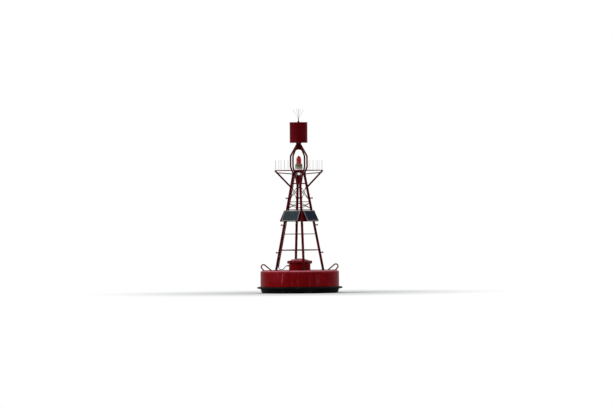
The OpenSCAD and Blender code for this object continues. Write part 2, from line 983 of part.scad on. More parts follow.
// The skirt is a square frustum of sheet, open at its top and bottom, with
// both edges folded inwards to a lip
module skirt_shell() {
    wall = skirt_t * sqrt(2) / cos(face_tilt);
    lip = skirt_lip * sqrt(2);
    color("firebrick")
        rotate_extrude($fn = 4)
            polygon([
                [skirt_low_r - lip, skirt_z],
                [skirt_low_r, skirt_z],
                [skirt_top_r, skirt_z + skirt_h],
                [skirt_top_r - lip, skirt_z + skirt_h],
                [skirt_top_r - lip, skirt_z + skirt_h - skirt_t],
                [skirt_r(skirt_z + skirt_h - skirt_t) - wall,
                    skirt_z + skirt_h - skirt_t],
                [skirt_r(skirt_z + skirt_t) - wall, skirt_z + skirt_t],
                [skirt_low_r - lip, skirt_z + skirt_t]
            ]);
}

// Places its children on a side of the skirt: X out of the face, Y along
// it and Z up its slope, from the middle of the face
module on_skirt_faces() {
    on_sides()
        translate([face_mid_r, 0, face_mid_z])
            rotate([0, -face_tilt, 0])
                children();
}

// Places its children on the back of a panel: X out of it, Y along its
// lower edge and Z up its slope, from the middle of the panel
module on_panels() {
    on_sides()
        translate([panel_mid_r, 0, face_mid_z])
            rotate([0, -panel_lean, 0])
                children();
}

// Two brackets behind each panel: a rail along the panel's back, a foot
// flat on the skirt and a web between them
module panel_rails() {
    rail_w = 34;
    foot_l = skirt_h - 60;
    reach = 120;
    color("#a8abad")
        difference() {
            union() {
                on_panels()
                    for (side = [-1, 1])
                        translate([-seat, side * panel_w * 0.3, -panel_l / 2]) {
                            translate([-rail_t, -rail_w / 2, 0])
                                cube([rail_t, rail_w, panel_l]);
                            translate([-reach, -rail_t / 2, 0])
                                cube([reach, rail_t, panel_l]);
                        }
                on_skirt_faces()
                    for (side = [-1, 1])
                        translate([0, side * panel_w * 0.3 - rail_w / 2, -foot_l / 2])
                            cube([rail_t, rail_w, foot_l]);
            }
            on_skirt_faces()
                translate([seat - 2 * reach, -panel_w / 2, -panel_l])
                    cube([2 * reach, panel_w, 2 * panel_l]);
            on_panels()
                translate([-seat, -panel_w / 2, -panel_l])
                    cube([reach, panel_w, 2 * panel_l]);
            translate([-guard_r, -guard_r, skirt_z - reach])
                cube([2 * guard_r, 2 * guard_r, reach + 6]);
        }
}

module panel_frames() {
    lip = 3;
    color("#c3c7ca")
        on_panels()
            difference() {
                translate([0, -panel_w / 2, -panel_l / 2])
                    cube([panel_t, panel_w, panel_l]);
                translate([-1, frame_w - panel_w / 2, frame_w - panel_l / 2])
                    cube([panel_t + 2, panel_w - 2 * frame_w, panel_l - 2 * frame_w]);
                translate([panel_t - lip - 5, lip - panel_w / 2, lip - panel_l / 2])
                    cube([5, panel_w - 2 * lip, panel_l - 2 * lip]);
            }
}

module panel_cells() {
    lip = 3;
    cell_t = 5 - 2 * seat;
    color("#1b2440")
        on_panels()
            translate([panel_t - lip - 5 + seat, lip + seat - panel_w / 2, lip + seat - panel_l / 2])
                cube([cell_t, panel_w - 2 * (lip + seat), panel_l - 2 * (lip + seat)]);
}

module head_plate() {
    color("firebrick")
        translate([0, 0, head_z])
            cylinder(h = head_t, r = head_r, $fn = 72);
}

// A strut's bar in the plane of its leg, grown by extra all round
module strut_bar(extra = 0) {
    end_z = strut_top_z + 2 * strut_d;
    bar([strut_r(strut_z), 0, strut_z], [strut_r(end_z), 0, end_z],
        strut_d + 2 * extra);
}

module guard_struts() {
    color("firebrick")
        on_legs()
            difference() {
                intersection() {
                    strut_bar();
                    translate([0, -strut_d, 0])
                        cube([2 * guard_r, 2 * strut_d, strut_top_z]);
                }
                leg_shape(seat);
            }
}

// A tie is an upright lug on the head plate with a bar out to the strut
module guard_ties() {
    lug_t = 10;
    color("firebrick")
        on_legs()
            difference() {
                union() {
                    translate([tie_foot_r - tie_lug_w / 2, -lug_t / 2, head_top_z + seat])
                        cube([tie_lug_w, lug_t, tie_z + tie_d / 2 + 4 - head_top_z]);
                    bar([tie_foot_r, 0, tie_z],
                        [strut_r(tie_z + tie_climb), 0, tie_z + tie_climb], tie_d);
                }
                strut_bar(seat);
            }
}

// The rail is a closed square of tube, bent round at its four corners
module guard_rail() {
    corners = [for (k = [-1:4]) guard_r * [cos(90 * k), sin(90 * k)]];
    color("firebrick")
        translate([0, 0, guard_z])
            rotate([-90, 0, 0])
                swept_bar([for (i = [1:4]) each bend_stations(corners, i, guard_bend_r)],
                    guard_d, 16, closed = true);
}

module guard_wires() {
    top = guard_z + guard_d / 2;
    half = guard_r * cos(45) - guard_bend_r;
    color("#7d7f80")
        on_sides()
            for (k = [0:wire_n - 1])
                translate([guard_r * cos(45), half * (2 * k / (wire_n - 1) - 1), top + seat])
                    cylinder(h = wire_h, d = wire_d);
}

// The table is a dished plate on four studs that stand on the head plate
module lantern_table() {
    stud_z = head_top_z + seat;
    color("#26211f")
        union() {
            difference() {
                translate([0, 0, table_z - table_h])
                    cylinder(h = table_h, r = table_r, $fn = 72);
                translate([0, 0, table_z - table_h - 1])
                    cylinder(h = table_h + 1 - table_t, r = table_r - table_t, $fn = 72);
            }
            on_sides()
                translate([stud_circle_r, 0, stud_z])
                    cylinder(h = table_z - table_t / 2 - stud_z, d = stud_d);
        }
}

module lantern_base() {
    flange_h = 16;
    color("#d9c9c6")
        translate([0, 0, lamp_z])
            rotate_extrude($fn = 72)
                polygon([
                    [0, 0],
                    [lamp_flange_r, 0],
                    [lamp_flange_r, flange_h],
                    [lamp_body_r - 6, flange_h + 6],
                    [lamp_body_r - 6, lamp_base_h],
                    [0, lamp_base_h]
                ]);
}

module lantern_body() {
    band = 14;
    neck_r = lens_r + 10;
    color("#767a68")
        translate([0, 0, lamp_body_z])
            rotate_extrude($fn = 72)
                polygon([
                    [0, 0],
                    [lamp_body_r - 4, 0],
                    [lamp_body_r, 5],
                    [lamp_body_r - 2, lamp_body_h * 0.62],
                    [lamp_body_r - 8, lamp_body_h * 0.62 + 3],
                    [lamp_body_r - 8, lamp_body_h * 0.62 + band],
                    [lamp_body_r - 2, lamp_body_h * 0.62 + band + 3],
                    [lamp_body_r - 4, lamp_body_h - 30],
                    [neck_r + 6, lamp_body_h - 10],
                    [neck_r, lamp_body_h],
                    [0, lamp_body_h]
                ]);
}

// The lens is a moulded dome with rounded ribs up its straight part
module lantern_lens() {
    foot_h = 10;
    ribs = floor((lens_h - 2 * foot_h) / lens_pitch);
    in_r = lens_r - lens_rib - lens_wall;
    color("#c01818")
        translate([0, 0, lens_z])
            rotate_extrude($fn = 72)
                union() {
                    polygon([
                        [in_r, 0],
                        [lens_r + 6, 0],
                        [lens_r + 6, foot_h],
                        [lens_r - lens_rib, foot_h],
                        [lens_r - lens_rib, lens_h],
                        [lens_r * 0.91, lens_h + lens_tip_h * 0.25],
                        [lens_r * 0.68, lens_h + lens_tip_h * 0.525],
                        [lens_r * 0.375, lens_h + lens_tip_h * 0.8],
                        [8, lens_h + lens_tip_h],
                        [0, lens_h + lens_tip_h],
                        [0, lens_h + lens_tip_h - 2 * lens_wall],
                        [lens_r * 0.375 - lens_wall, lens_h + lens_tip_h * 0.8 - lens_wall],
                        [lens_r * 0.68 - lens_wall, lens_h + lens_tip_h * 0.525 - lens_wall],
                        [lens_r * 0.91 - lens_wall, lens_h + lens_tip_h * 0.25 - lens_wall / 2],
                        [in_r, lens_h - lens_wall / 2]
                    ]);
                    for (k = [0:ribs - 1])
                        translate([lens_r - lens_rib, foot_h + lens_pitch * (k + 0.6)])
                            difference() {
                                circle(r = lens_rib);
                                translate([-2 * lens_rib, -lens_rib])
                                    square([2 * lens_rib, 2 * lens_rib]);
                            }
                }
}

// The light source: rings of emitters, one above another on a finned stem
module lamp_stack() {
    board_t = 4;
    tiers = floor((lens_h - 30) / stack_pitch);
    color("#4a4d50")
        translate([0, 0, lens_z])
            union() {
                cylinder(h = 12 + tiers * stack_pitch, r = stack_r * 0.55);
                for (k = [0:tiers])
                    translate([0, 0, 12 + stack_pitch * k])
                        cylinder(h = board_t, r = stack_r);
                for (k = [0:5])
                    rotate([0, 0, 60 * k])
                        translate([0, -board_t / 2, 0])
                            cube([stack_r - board_t, board_t, 12 + board_t / 2]);
            }
}

module cage_bars() {
    color("firebrick")
        on_sides()
            swept_bar(bent_stations(cage_path, cage_bend_r, 1), cage_d, 16);
}

// Crossed gussets between the bars, under a round plate for the can
module cage_crown() {
    edge = (cage_d / 2 + seat) / cos(cage_top_lean);
    low_r = cage_top_r + (cage_end_z - cage_gusset_z) * tan(cage_top_lean) - edge;
    notch = 30;
    color("firebrick")
        union() {
            translate([0, 0, crown_z])
                cylinder(h = crown_t, r = crown_r);
            for (k = [0:1])
                rotate([0, 0, 90 * k + 45])
                    translate([0, cage_gusset_t / 2, 0])
                        rotate([90, 0, 0])
                            linear_extrude(cage_gusset_t)
                                polygon([
                                    [cage_top_r - edge, crown_z + crown_t / 2],
                                    [cage_top_r - edge, crown_z],
                                    [low_r, cage_gusset_z],
                                    [0, cage_gusset_z + notch],
                                    [-low_r, cage_gusset_z],
                                    [edge - cage_top_r, crown_z],
                                    [edge - cage_top_r, crown_z + crown_t / 2]
                                ]);
        }
}

module topmark_can() {
    r = can_d / 2;
    color("#8e1016")
        translate([0, 0, can_z])
            rotate_extrude($fn = 96)
                polygon([
                    [0, 0],
                    [r, 0],
                    [r, can_rim],
                    [r - can_rim / 3, can_rim * 1.4],
                    [r - can_rim / 3, can_h - can_rim * 1.4],
                    [r, can_h - can_rim],
                    [r, can_h],
                    [r - can_rim, can_h],
                    [r - can_rim, can_h - can_rim / 2],
                    [boss_d / 2, can_h - can_rim / 2],
                    [boss_d / 2, can_h + boss_h],
                    [0, can_h + boss_h]
                ]);
}

// The spigot carries two crowns of bird wires, an open and a steep one
module topmark_spigot() {
    nut_h = 12;
    foot_z = can_z + can_h + boss_h + seat;
    top_z = foot_z + spigot_h;
    // Columns: number of wires, lean from the vertical, first direction
    crowns = [
        [spike_n, spike_lean, 20],
        [3, spike_lean / 3, 75]
    ];
    color("#3a2c2a")
        union() {
            translate([0, 0, foot_z])
                cylinder(h = nut_h, d = 1.6 * spigot_d, $fn = 6);
            translate([0, 0, foot_z])
                cylinder(h = spigot_h, d = spigot_d);
            for (c = crowns)
                for (k = [0:c[0] - 1])
                    rotate([0, 0, c[2] + 360 * k / c[0]])
                        translate([spigot_d / 4, 0, top_z - 10])
                            rotate([0, c[1], 0])
                                cylinder(h = spike_l, d = wire_d);
        }
}

// Centre line of the conduit inside the left leg, mirrored to +X
module conduit_line(low_z, high_z, d) {
    off = conduit_off / cos(leg_lean);
    bar([leg_r(low_z) - off, 0, low_z], [leg_r(high_z) - off, 0, high_z], d);
}

module conduit() {
    far = 2 * conduit_d;
    color("firebrick")
        rotate([0, 0, 180])
            intersection() {
                conduit_line(conduit_z - far, head_z + far, conduit_d);
                translate([0, -conduit_d, conduit_z])
                    cube([2 * leg_base_r, 2 * conduit_d, head_z - seat - conduit_z]);
            }
}

// Saddle clips: a ring round the conduit with a web against the leg
module conduit_clips() {
    wall = 3;
    color("#8a8d90")
        rotate([0, 0, 180])
            for (z = clip_z)
                translate([leg_r(z), 0, z])
                    rotate([0, -leg_lean, 0])
                        difference() {
                            union() {
                                translate([-conduit_off, 0, 0])
                                    cylinder(h = clip_l, d = conduit_d + 2 * (seat + wall));
                                translate([-conduit_off, -8, 0])
                                    cube([conduit_off, 16, clip_l]);
                            }
                            translate([-conduit_off, 0, -1])
                                cylinder(h = clip_l + 2, d = conduit_d + 2 * seat);
                            translate([0, 0, -1])
                                cylinder(h = clip_l + 2, d = leg_d + 2 * seat);
                        }
}

module cable_gland() {
    nut_l = 22;
    color("#2a2a2a")
        difference() {
            union() {
                translate([cable_face_x, 0, gland_z])
                    rotate([0, 90, 0])
                        cylinder(h = gland_l + pocket_r / 2, d = gland_d * 0.86);
                translate([cable_face_x + 8, 0, gland_z])
                    rotate([0, 90, 0])
                        cylinder(h = nut_l, d = gland_d * 1.1, $fn = 6);
            }
            cylinder(h = 3 * deck_z, r = pocket_r + seat, center = true, $fn = 96);
        }
}

// Heading of the cable at each point of its route: level at the gland, up
// the conduit at the leg, and from neighbour to neighbour between
function route_heading(i) =
    i == 0 ? 180 :
    i == len(cable_route) - 1 ? 90 - leg_lean :
    heading(cable_route[i - 1], cable_route[i + 1]);

module deck_cable() {
    color("#161616")
        swept_bar([for (i = [0:len(cable_route) - 1])
            [cable_route[i], route_heading(i), i == len(cable_route) - 1 ? 1 : 0]],
            cable_d, 10);
}

hull_upper();
hull_bottom();
fender_ring();
tail_tube();
tail_gussets();
ballast_rings();
mooring_lug();
battery_pocket();
battery_crate();
hatch_gasket();
hatch_lid();
lid_handle();
hinge_bracket();
hinge_pin();
lifting_eye_left();
lifting_eye_right();
foot_plates();
leg_front();
leg_right();
leg_back();
leg_left();
rungs_low();
rungs_mid();
rungs_skirt();
rungs_upper();
rungs_head();
braces_lower();
braces_upper();
climbing_pegs();
skirt_arms();
skirt_shell();
panel_rails();
panel_frames();
panel_cells();
head_plate();
guard_struts();
guard_ties();
guard_rail();
guard_wires();
lantern_table();
lantern_base();
lantern_body();
lantern_lens();
lamp_stack();
cage_bars();
cage_crown();
topmark_can();
topmark_spigot();
conduit();
conduit_clips();
cable_gland();
deck_cable();
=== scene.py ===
import math
from functools import reduce

import bmesh
import bpy
from mathutils import Matrix, Vector, noise


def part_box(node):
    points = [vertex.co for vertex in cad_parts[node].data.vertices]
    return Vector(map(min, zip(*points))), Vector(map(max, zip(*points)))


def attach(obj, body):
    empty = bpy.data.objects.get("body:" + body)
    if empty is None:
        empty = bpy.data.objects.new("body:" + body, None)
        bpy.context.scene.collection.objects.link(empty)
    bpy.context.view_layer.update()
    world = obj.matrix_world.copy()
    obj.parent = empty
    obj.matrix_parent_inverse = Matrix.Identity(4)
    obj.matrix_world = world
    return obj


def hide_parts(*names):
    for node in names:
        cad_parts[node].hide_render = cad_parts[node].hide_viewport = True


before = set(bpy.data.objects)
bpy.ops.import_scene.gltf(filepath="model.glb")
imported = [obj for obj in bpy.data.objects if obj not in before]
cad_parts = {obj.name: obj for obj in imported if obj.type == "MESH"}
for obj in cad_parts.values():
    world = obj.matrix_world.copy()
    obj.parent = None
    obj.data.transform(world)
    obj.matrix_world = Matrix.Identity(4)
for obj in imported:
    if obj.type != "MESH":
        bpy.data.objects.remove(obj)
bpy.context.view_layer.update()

# Camera
# A very long lens far off across the water, three metres up, ten degrees to
# the left of the buoy's front leg.
CAMERA_AZIMUTH = math.radians(-10)
CAMERA_DISTANCE = 183.0
CAMERA_HEIGHT = 3.05
CAMERA_LEAN = math.radians(-0.5)
CAMERA_SHIFT = 0.209
AIM_HEIGHT = 2.71
LENS_MM, SENSOR_MM = 352.9, 36
away = Vector((math.sin(CAMERA_AZIMUTH), -math.cos(CAMERA_AZIMUTH), 0))
across = Vector((-away.y, away.x, 0))
aim = across * CAMERA_SHIFT + Vector((0, 0, AIM_HEIGHT))
lens = bpy.data.cameras.new("long_lens")
lens.lens = LENS_MM
lens.sensor_width = SENSOR_MM
lens.clip_start = 1
lens.clip_end = 900
camera = bpy.data.objects.new("camera", lens)
bpy.context.scene.collection.objects.link(camera)
camera.location = across * CAMERA_SHIFT + away * CAMERA_DISTANCE + Vector((0, 0, CAMERA_HEIGHT))
gaze = (aim - camera.location).to_track_quat("-Z", "Y").to_matrix()
camera.rotation_euler = (gaze @ Matrix.Rotation(CAMERA_LEAN, 3, "Z")).to_euler()
bpy.context.scene.camera = camera

# Deck cable
# One rubber-sheathed cable leaves a nylon gland on the coaming, hangs in a
# shallow loop over the deck and goes up into the conduit on the left leg.
CABLE_D = 0.022
CABLE_POINTS = (
    (-0.3793, 0.8330), (-0.4037, 0.8296), (-0.4262, 0.8198), (-0.4452, 0.8043),
    (-0.4703, 0.7729), (-0.4955, 0.7416), (-0.5155, 0.7254), (-0.5392, 0.7156),
    (-0.5648, 0.7129), (-0.5901, 0.7176), (-0.6131, 0.7292), (-0.6318, 0.7468),
    (-0.6448, 0.7690), (-0.6510, 0.7940), (-0.6498, 0.8197),
)
# The boot's rings: the cable point they follow, the share to the next, radius
BOOT = ((0, 0.0, 0.0185), (0, 0.2, 0.0185), (0, 0.22, 0.0165), (0, 0.5, 0.0155),
        (0, 0.8, 0.0146), (1, 0.1, 0.0138), (1, 0.4, 0.0131), (1, 0.7, 0.0122))
# The bush's rings: the distance past the cable's end, and the radius
BUSH = ((-0.020, 0.0122), (-0.018, 0.0140), (-0.004, 0.0155), (0.0, 0.0170), (0.016, 0.0170),
        (0.018, 0.0160))
CABLE_SIDES = 20


def add(kind, inputs=None, tree=None, **settings):
    """Adds a node to a tree, or beside the first output that feeds one of its inputs."""
    inputs = inputs or {}
    fed = [value for value in inputs.values() if isinstance(value, bpy.types.NodeSocket)]
    node = (tree or fed[0].id_data).nodes.new("ShaderNode" + kind)
    for name, value in settings.items():
        setattr(node, name, value)
    for name, value in inputs.items():
        if isinstance(value, bpy.types.NodeSocket):
            node.id_data.links.new(value, node.inputs[name])
        else:
            node.inputs[name].default_value = value
    return node


def feed(node, **outputs):
    """Links outputs to a node's inputs by name. An underscore stands for a space."""
    for label, output in outputs.items():
        output.id_data.links.new(output, node.inputs[label.replace("_", " ")])


def calc(operation, *values):
    """One Math node; returns its output."""
    return add("Math", dict(enumerate(values)), operation=operation).outputs[0]


def times(*values):
    """The product of values."""
    return reduce(lambda one, two: calc("MULTIPLY", one, two), values)


def plus(*values):
    """The sum of values."""
    return reduce(lambda one, two: calc("ADD", one, two), values)


def most(*values):
    """The largest of values."""
    return reduce(lambda one, two: calc("MAXIMUM", one, two), values)


def vector_math(operation, *values):
    """One Vector Math node; returns its number or its vector."""
    outputs = add("VectorMath", dict(enumerate(values)), operation=operation).outputs
    return outputs["Value" if operation in ("DOT_PRODUCT", "LENGTH") else "Vector"]


def z_of(vector):
    """The Z part of a vector."""
    return add("SeparateXYZ", {0: vector}).outputs["Z"]


def span(value, low, high, out_low=0.0, out_high=1.0):
    """Maps low..high of a value softly onto out_low..out_high."""
    return add("MapRange", {"Value": value, "From Min": low, "From Max": high, "To Min": out_low,
                            "To Max": out_high}, interpolation_type="SMOOTHSTEP").outputs[0]


def mix(mask, first, second, blend="MIX"):
    """Mixes two colours by a mask."""
    return add("Mix", {0: mask, 6: first, 7: second}, data_type="RGBA",
               blend_type=blend).outputs[2]


def cloud(place, scale, detail, rough=0.55, stretch=None):
    """A noise value over a place, stretched along the axes if asked."""
    if stretch:
        place = add("Mapping", {"Vector": place, "Scale": stretch}).outputs[0]
    return add("TexNoise", {"Vector": place, "Scale": scale, "Detail": detail,
                            "Roughness": rough}).outputs[0]


def patches(place, scale, detail, low, high, rough=0.55, stretch=None, out=(0.0, 1.0)):
    """A mask of soft patches: low..high of a cloud, mapped onto a range."""
    return span(cloud(place, scale, detail, rough, stretch), low, high, *out)


def finish(name, **sockets):
    """A material with its constants on the shader. Returns it, its shader and its place."""
    material = bpy.data.materials.new(name)
    material.use_nodes = True
    shader = material.node_tree.nodes["Principled BSDF"]
    for label, value in sockets.items():
        shader.inputs[label.replace("_", " ")].default_value = value
    return material, shader, add("TexCoord", tree=material.node_tree).outputs["Object"]


def bump(shader, height, strength, distance, over=None):
    """Feeds a height to the shader as relief, over a normal where one is given."""
    node = add("Bump", {"Height": height, "Strength": strength, "Distance": distance})
    if over:
        feed(node, Normal=over)
    feed(shader, Normal=node.outputs[0])


def aged(name, clean, worn, patch, roughness=None, grain=None, **sockets):
    """A finish that ages in patches between two colours, with the ends of its roughness and
    a grain's scale, detail, strength and distance where they are given."""
    material, shader, place = finish(name, **sockets)
    mask = patches(place, *patch)
    feed(shader, Base_Color=mix(mask, clean, worn))
    if roughness:
        feed(shader, Roughness=span(mask, 0, 1, *roughness))
    if grain:
        scale, detail, strength, distance = grain
        bump(shader, cloud(place, scale, detail), strength, distance)
    return material


def dress(material, *names):
    """Gives CAD nodes this material."""
    for name in names:
        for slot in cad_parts[name].material_slots:
            slot.material = material


def node_group(name, inputs, outputs):
    """An empty node group with named inputs, by their defaults, and outputs."""
    group = bpy.data.node_groups.new(name, "ShaderNodeTree")
    for label, default in inputs.items():
        kind = "NodeSocketColor" if isinstance(default, tuple) else "NodeSocketFloat"
        group.interface.new_socket(label, in_out="INPUT", socket_type=kind).default_value = default
    for label, kind in outputs.items():
        group.interface.new_socket(label, in_out="OUTPUT", socket_type="NodeSocket" + kind)
    entry = group.nodes.new("NodeGroupInput")
    return group, entry.outputs, group.nodes.new("NodeGroupOutput")


def place_group(tree, group, **values):
    """Puts a node group in a material with its own values; returns its outputs."""
    node = tree.nodes.new("ShaderNodeGroup")
    node.node_tree = group
    for label, value in values.items():
        node.inputs[label].default_value = value
    return node.outputs


def solid(name, bm, material):
    """Makes an object of a bmesh, smooth but for its sharp edges."""
    bmesh.ops.recalc_face_normals(bm, faces=bm.faces)
    mesh = bpy.data.meshes.new(name)
    bm.to_mesh(mesh)
    bm.free()
    for face in mesh.polygons:
        face.use_smooth = True
    mesh.set_sharp_from_angle(angle=math.radians(38))
    mesh.materials.append(material)
    piece = bpy.data.objects.new(name, mesh)
    bpy.context.scene.collection.objects.link(piece)
    return piece


def spokes(count):
    """The cosine and sine of each of a number of even turns."""
    return [(math.cos(math.tau * k / count), math.sin(math.tau * k / count)) for k in range(count)]


def skin(bm, rings, closed):
    """Joins rings of vertices, of which some may be one point, and caps an open run's ends."""
    for one, two in zip(rings, rings[1:] + rings[:1] if closed else rings[1:]):
        for k in range(max(len(one), len(two))):
            corners = (one[(k - 1) % len(one)], one[k % len(one)],
                       two[k % len(two)], two[(k - 1) % len(two)])
            bm.faces.new(list(dict.fromkeys(corners)))
    if not closed:
        for ring in (rings[0], rings[-1]):
            if len(ring) > 1:
                bm.faces.new(ring)


def sweep(bm, stations, sides, closed=False):
    """A round bar along stations: centre, a direction across it, and radius."""
    rings = []
    last = len(stations) - 1
    for i, (centre, across_bar, radius) in enumerate(stations):
        before = stations[i - 1 if i or closed else 0][0]
        after = stations[(i + 1) % (last + 1) if i < last or closed else last][0]
        forward = (after - before).normalized()
        lift = (across_bar - forward * across_bar.dot(forward)).normalized()
        side = forward.cross(lift)
        rings.append([bm.verts.new(centre + radius * (lift * c + side * s))
                      for c, s in spokes(sides)])
    skin(bm, rings, closed)


cable_material = aged(
    "cable_sheath", (0.006, 0.006, 0.007, 1), (0.022, 0.021, 0.020, 1), patch=(38, 6, 0.5, 0.75),
    roughness=(0.5, 0.75), grain=(420, 2, 0.25, 0.0006), Specular_IOR_Level=0.12)
line = bpy.data.curves.new("deck_cable_run", "CURVE")
line.dimensions = "3D"
line.bevel_depth = CABLE_D / 2
line.bevel_resolution = 6
line.resolution_u = 8
line.use_fill_caps = True
run = line.splines.new("BEZIER")
run.bezier_points.add(len(CABLE_POINTS) - 1)
for point, (x, z) in zip(run.bezier_points, CABLE_POINTS):
    point.co = (x, 0, z)
    point.handle_left_type = point.handle_right_type = "AUTO"
line.materials.append(cable_material)
cable = bpy.data.objects.new("deck_cable_run", line)
bpy.context.scene.collection.objects.link(cable)
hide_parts("deck_cable")
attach(cable, "buoy")

nylon = aged(
    "gland_nylon", (0.014, 0.014, 0.015, 1), (0.06, 0.058, 0.055, 1), patch=(60, 5, 0.45, 0.75),
    roughness=(0.38, 0.6), grain=(300, 3, 0.2, 0.0005), Specular_IOR_Level=0.35)
dress(nylon, "cable_gland")

# Tapered boot on the gland, and a bush where the conduit takes the cable in
bm = bmesh.new()
level = Vector((0, 1, 0))
route = [Vector((x, 0, z)) for x, z in CABLE_POINTS]
sweep(bm, [(route[n].lerp(route[n + 1], share), level, radius) for n, share, radius in BOOT],
      CABLE_SIDES)
up_leg = (route[-1] - route[-2]).normalized()
sweep(bm, [(route[-1] + up_leg * past, level, radius) for past, radius in BUSH], CABLE_SIDES)
boots = solid("cable_boots", bm, cable_material)
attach(boots, "buoy")

# Floor and light
# A plain pale floor at the waterline that fades to white, and is clear from
# below. Soft light from the left, a weaker one from the right, white around.
FLOOR_R = 450.0
FADE_FROM, FADE_TO = 1.8, 7.0
FLOOR_GLOW, WORLD_GLOW = 0.6, 0.44
# The lights: name, the direction that they shine from, strength and width
LIGHTS = (("key_light", (-0.90, -0.14, 0.46), 1.90, 40),
          ("side_light", (0.90, -0.25, 0.45), 0.75, 40))


def looked_at(tree):
    """1 for what the camera sees straight, reflected or through the lens, 0 for light."""
    rays = add("LightPath", tree=tree).outputs
    return most(rays["Is Camera Ray"], rays["Is Glossy Ray"], rays["Is Transmission Ray"])


floor_material, shader, place = finish(
    "pale_floor", Base_Color=(0.84, 0.85, 0.86, 1), Specular_IOR_Level=0.0, Roughness=1.0)
tree = floor_material.node_tree
far = span(vector_math("LENGTH", place), FADE_FROM, FADE_TO)
glow = add("Emission", {"Strength": span(looked_at(tree), 0, 1, FLOOR_GLOW, 1.0)})
both = add("MixShader", {0: far, 1: shader.outputs[0], 2: glow.outputs[0]})
under = add("NewGeometry", tree=tree).outputs["Backfacing"]
clear = add("BsdfTransparent", tree=tree)
sheet = add("MixShader", {0: under, 1: both.outputs[0], 2: clear.outputs[0]})
feed(tree.nodes["Material Output"], Surface=sheet.outputs[0])
bm = bmesh.new()
bmesh.ops.create_circle(bm, cap_ends=True, segments=96, radius=FLOOR_R)
floor = solid("floor", bm, floor_material)

world = bpy.data.worlds.new("white_surround")
bpy.context.scene.world = world
world.use_nodes = True
tree = world.node_tree
backdrop = tree.nodes["Background"]
backdrop.inputs["Color"].default_value = (1, 1, 1, 1)
feed(backdrop, Strength=span(looked_at(tree), 0, 1, WORLD_GLOW, 1.0))

for name, toward, strength, width in LIGHTS:
    lamp = bpy.data.lights.new(name, "SUN")
    lamp.energy = strength
    lamp.angle = math.radians(width)
    holder = bpy.data.objects.new(name, lamp)
    bpy.context.scene.collection.objects.link(holder)
    holder.rotation_euler = Vector(toward).to_track_quat("Z", "Y").to_euler()

bpy.context.scene.view_settings.view_transform = "Standard"

# Hull
# A round steel drum of rolled plate, butt-welded and sprayed with red gloss
# marine paint. Rain, salt and gulls leave pale runs down its side.
HULL_R = 1.2
DECK_Z = 0.690
DECK_EDGE_R = 0.058
SIDE_SEAMS = (-58, 2, 62, 122, 182, 242)
SIDE_SEAM_FOOT, SIDE_SEAM_TOP = 0.203, 0.628
DECK_SEAMS = (35, 125, 215, 305)
DECK_SEAM_IN, DECK_SEAM_OUT = 0.345, 1.135
HULL_RED = (0.142, 0.0009, 0.0022, 1)
FADED_RED = (0.205, 0.006, 0.012, 1)
SPLASH_AND_LIGHT_RED = (0.200, 0.0012, 0.0030, 1)
PAINTED_HIGHLIGHT_PINK = (0.58, 0.16, 0.21, 1)
RUN_PINK = (0.45, 0.17, 0.22, 1)
SALT = (0.42, 0.30, 0.31, 1)
HULL_SALT = (0.42, 0.17, 0.20, 1)
RUST = (0.070, 0.019, 0.008, 1)
# Gull runs on the side: bearing, top, foot, half width and strength
GULL_RUNS = ((233.7, 0.62, 0.25, 0.016, 0.75), (322.0, 0.66, 0.34, 0.011, 0.55),
             (96.0, 0.66, 0.22, 0.014, 0.70), (20.0, 0.60, 0.30, 0.010, 0.60))
UP = Vector((0, 0, 1))

# Shared by every painted steel piece: chalky fading, a painted highlight that
# turns faces that look up pale pink (with some sun bleaching), pale runs,
# chipped specks and paint worn off edges.
paint_wear, given, gives = node_group("paint_wear", {
    "Paint": HULL_RED, "Faded": FADED_RED, "Salt": SALT, "Rust": RUST, "Highlight_Pink": PAINTED_HIGHLIGHT_PINK,
    "Fading": 0.4, "Bleach": 0.3, "Runs": 0.35, "Chips": 0.5, "Edges": 0.6, "Shine": 0.26},
    {"Color": "Color", "Roughness": "Float", "Height": "Float", "Round": "Vector"})
place = add("TexCoord", tree=paint_wear).outputs["Object"]
normal = add("NewGeometry", tree=paint_wear).outputs["Normal"]
facing_up = z_of(normal)
upright = span(calc("ABSOLUTE", facing_up), 0.45, 0.9, 1, 0)
chalk = times(patches(place, 1.7, 6, 0.44, 0.70), given["Fading"])
runs = times(patches(place, 21, 5, 0.54, 0.74, 0.6, stretch=(1, 1, 0.055)),
             patches(place, 2.6, 3, 0.38, 0.62), upright, given["Runs"])
specks = times(patches(place, 46, 5, 0.705, 0.745, 0.65), given["Chips"])
rounded = add("Bevel", {"Radius": 0.0045}, paint_wear, samples=6).outputs[0]
on_edges = span(vector_math("DOT_PRODUCT", rounded, normal), 0.985, 0.86)
rubbed = times(on_edges, patches(place, 24, 5, 0.50, 0.66, 0.65), given["Edges"])
bare = most(specks, rubbed)
# Painted highlight: faces that look up go pale pink, standing in for the sky's reflection
up_facing_highlight = times(span(facing_up, 0.25, 0.85), given["Bleach"],
               patches(place, 3.1, 9, 0.34, 0.60, 0.62, out=(0.62, 1.0)),
               patches(place, 38, 5, 0.30, 0.52, 0.7, out=(0.80, 1.0)))
coat = mix(chalk, given["Paint"], given["Faded"])
coat = mix(up_facing_highlight, coat, given["Highlight_Pink"])
tone = add("HueSaturation", {
    "Value": patches(place, 8.5, 4, 0.3, 0.7, out=(0.86, 1.12)), "Color": coat})
coat = mix(runs, tone.outputs[0], given["Salt"])
dull = plus(given["Shine"], times(chalk, 0.30), times(runs, 0.35), times(bare, 0.40))
peel = times(cloud(place, 170, 2), 0.12)
feed(gives, Color=mix(bare, coat, given["Rust"]), Roughness=dull, Round=rounded,
     Height=calc("SUBTRACT", peel, times(bare, 0.35)))


def painted(name, level, **wear):
    """Painted steel with its own colours and wear. Returns it, its shader, place and wear."""
    material, shader, place = finish(name, Specular_IOR_Level=level)
    worn = place_group(material.node_tree, paint_wear, **wear)
    feed(shader, Base_Color=worn["Color"], Roughness=worn["Roughness"])
    bump(shader, worn["Height"], 0.5, 0.0016, worn["Round"])
    return material, shader, place, worn


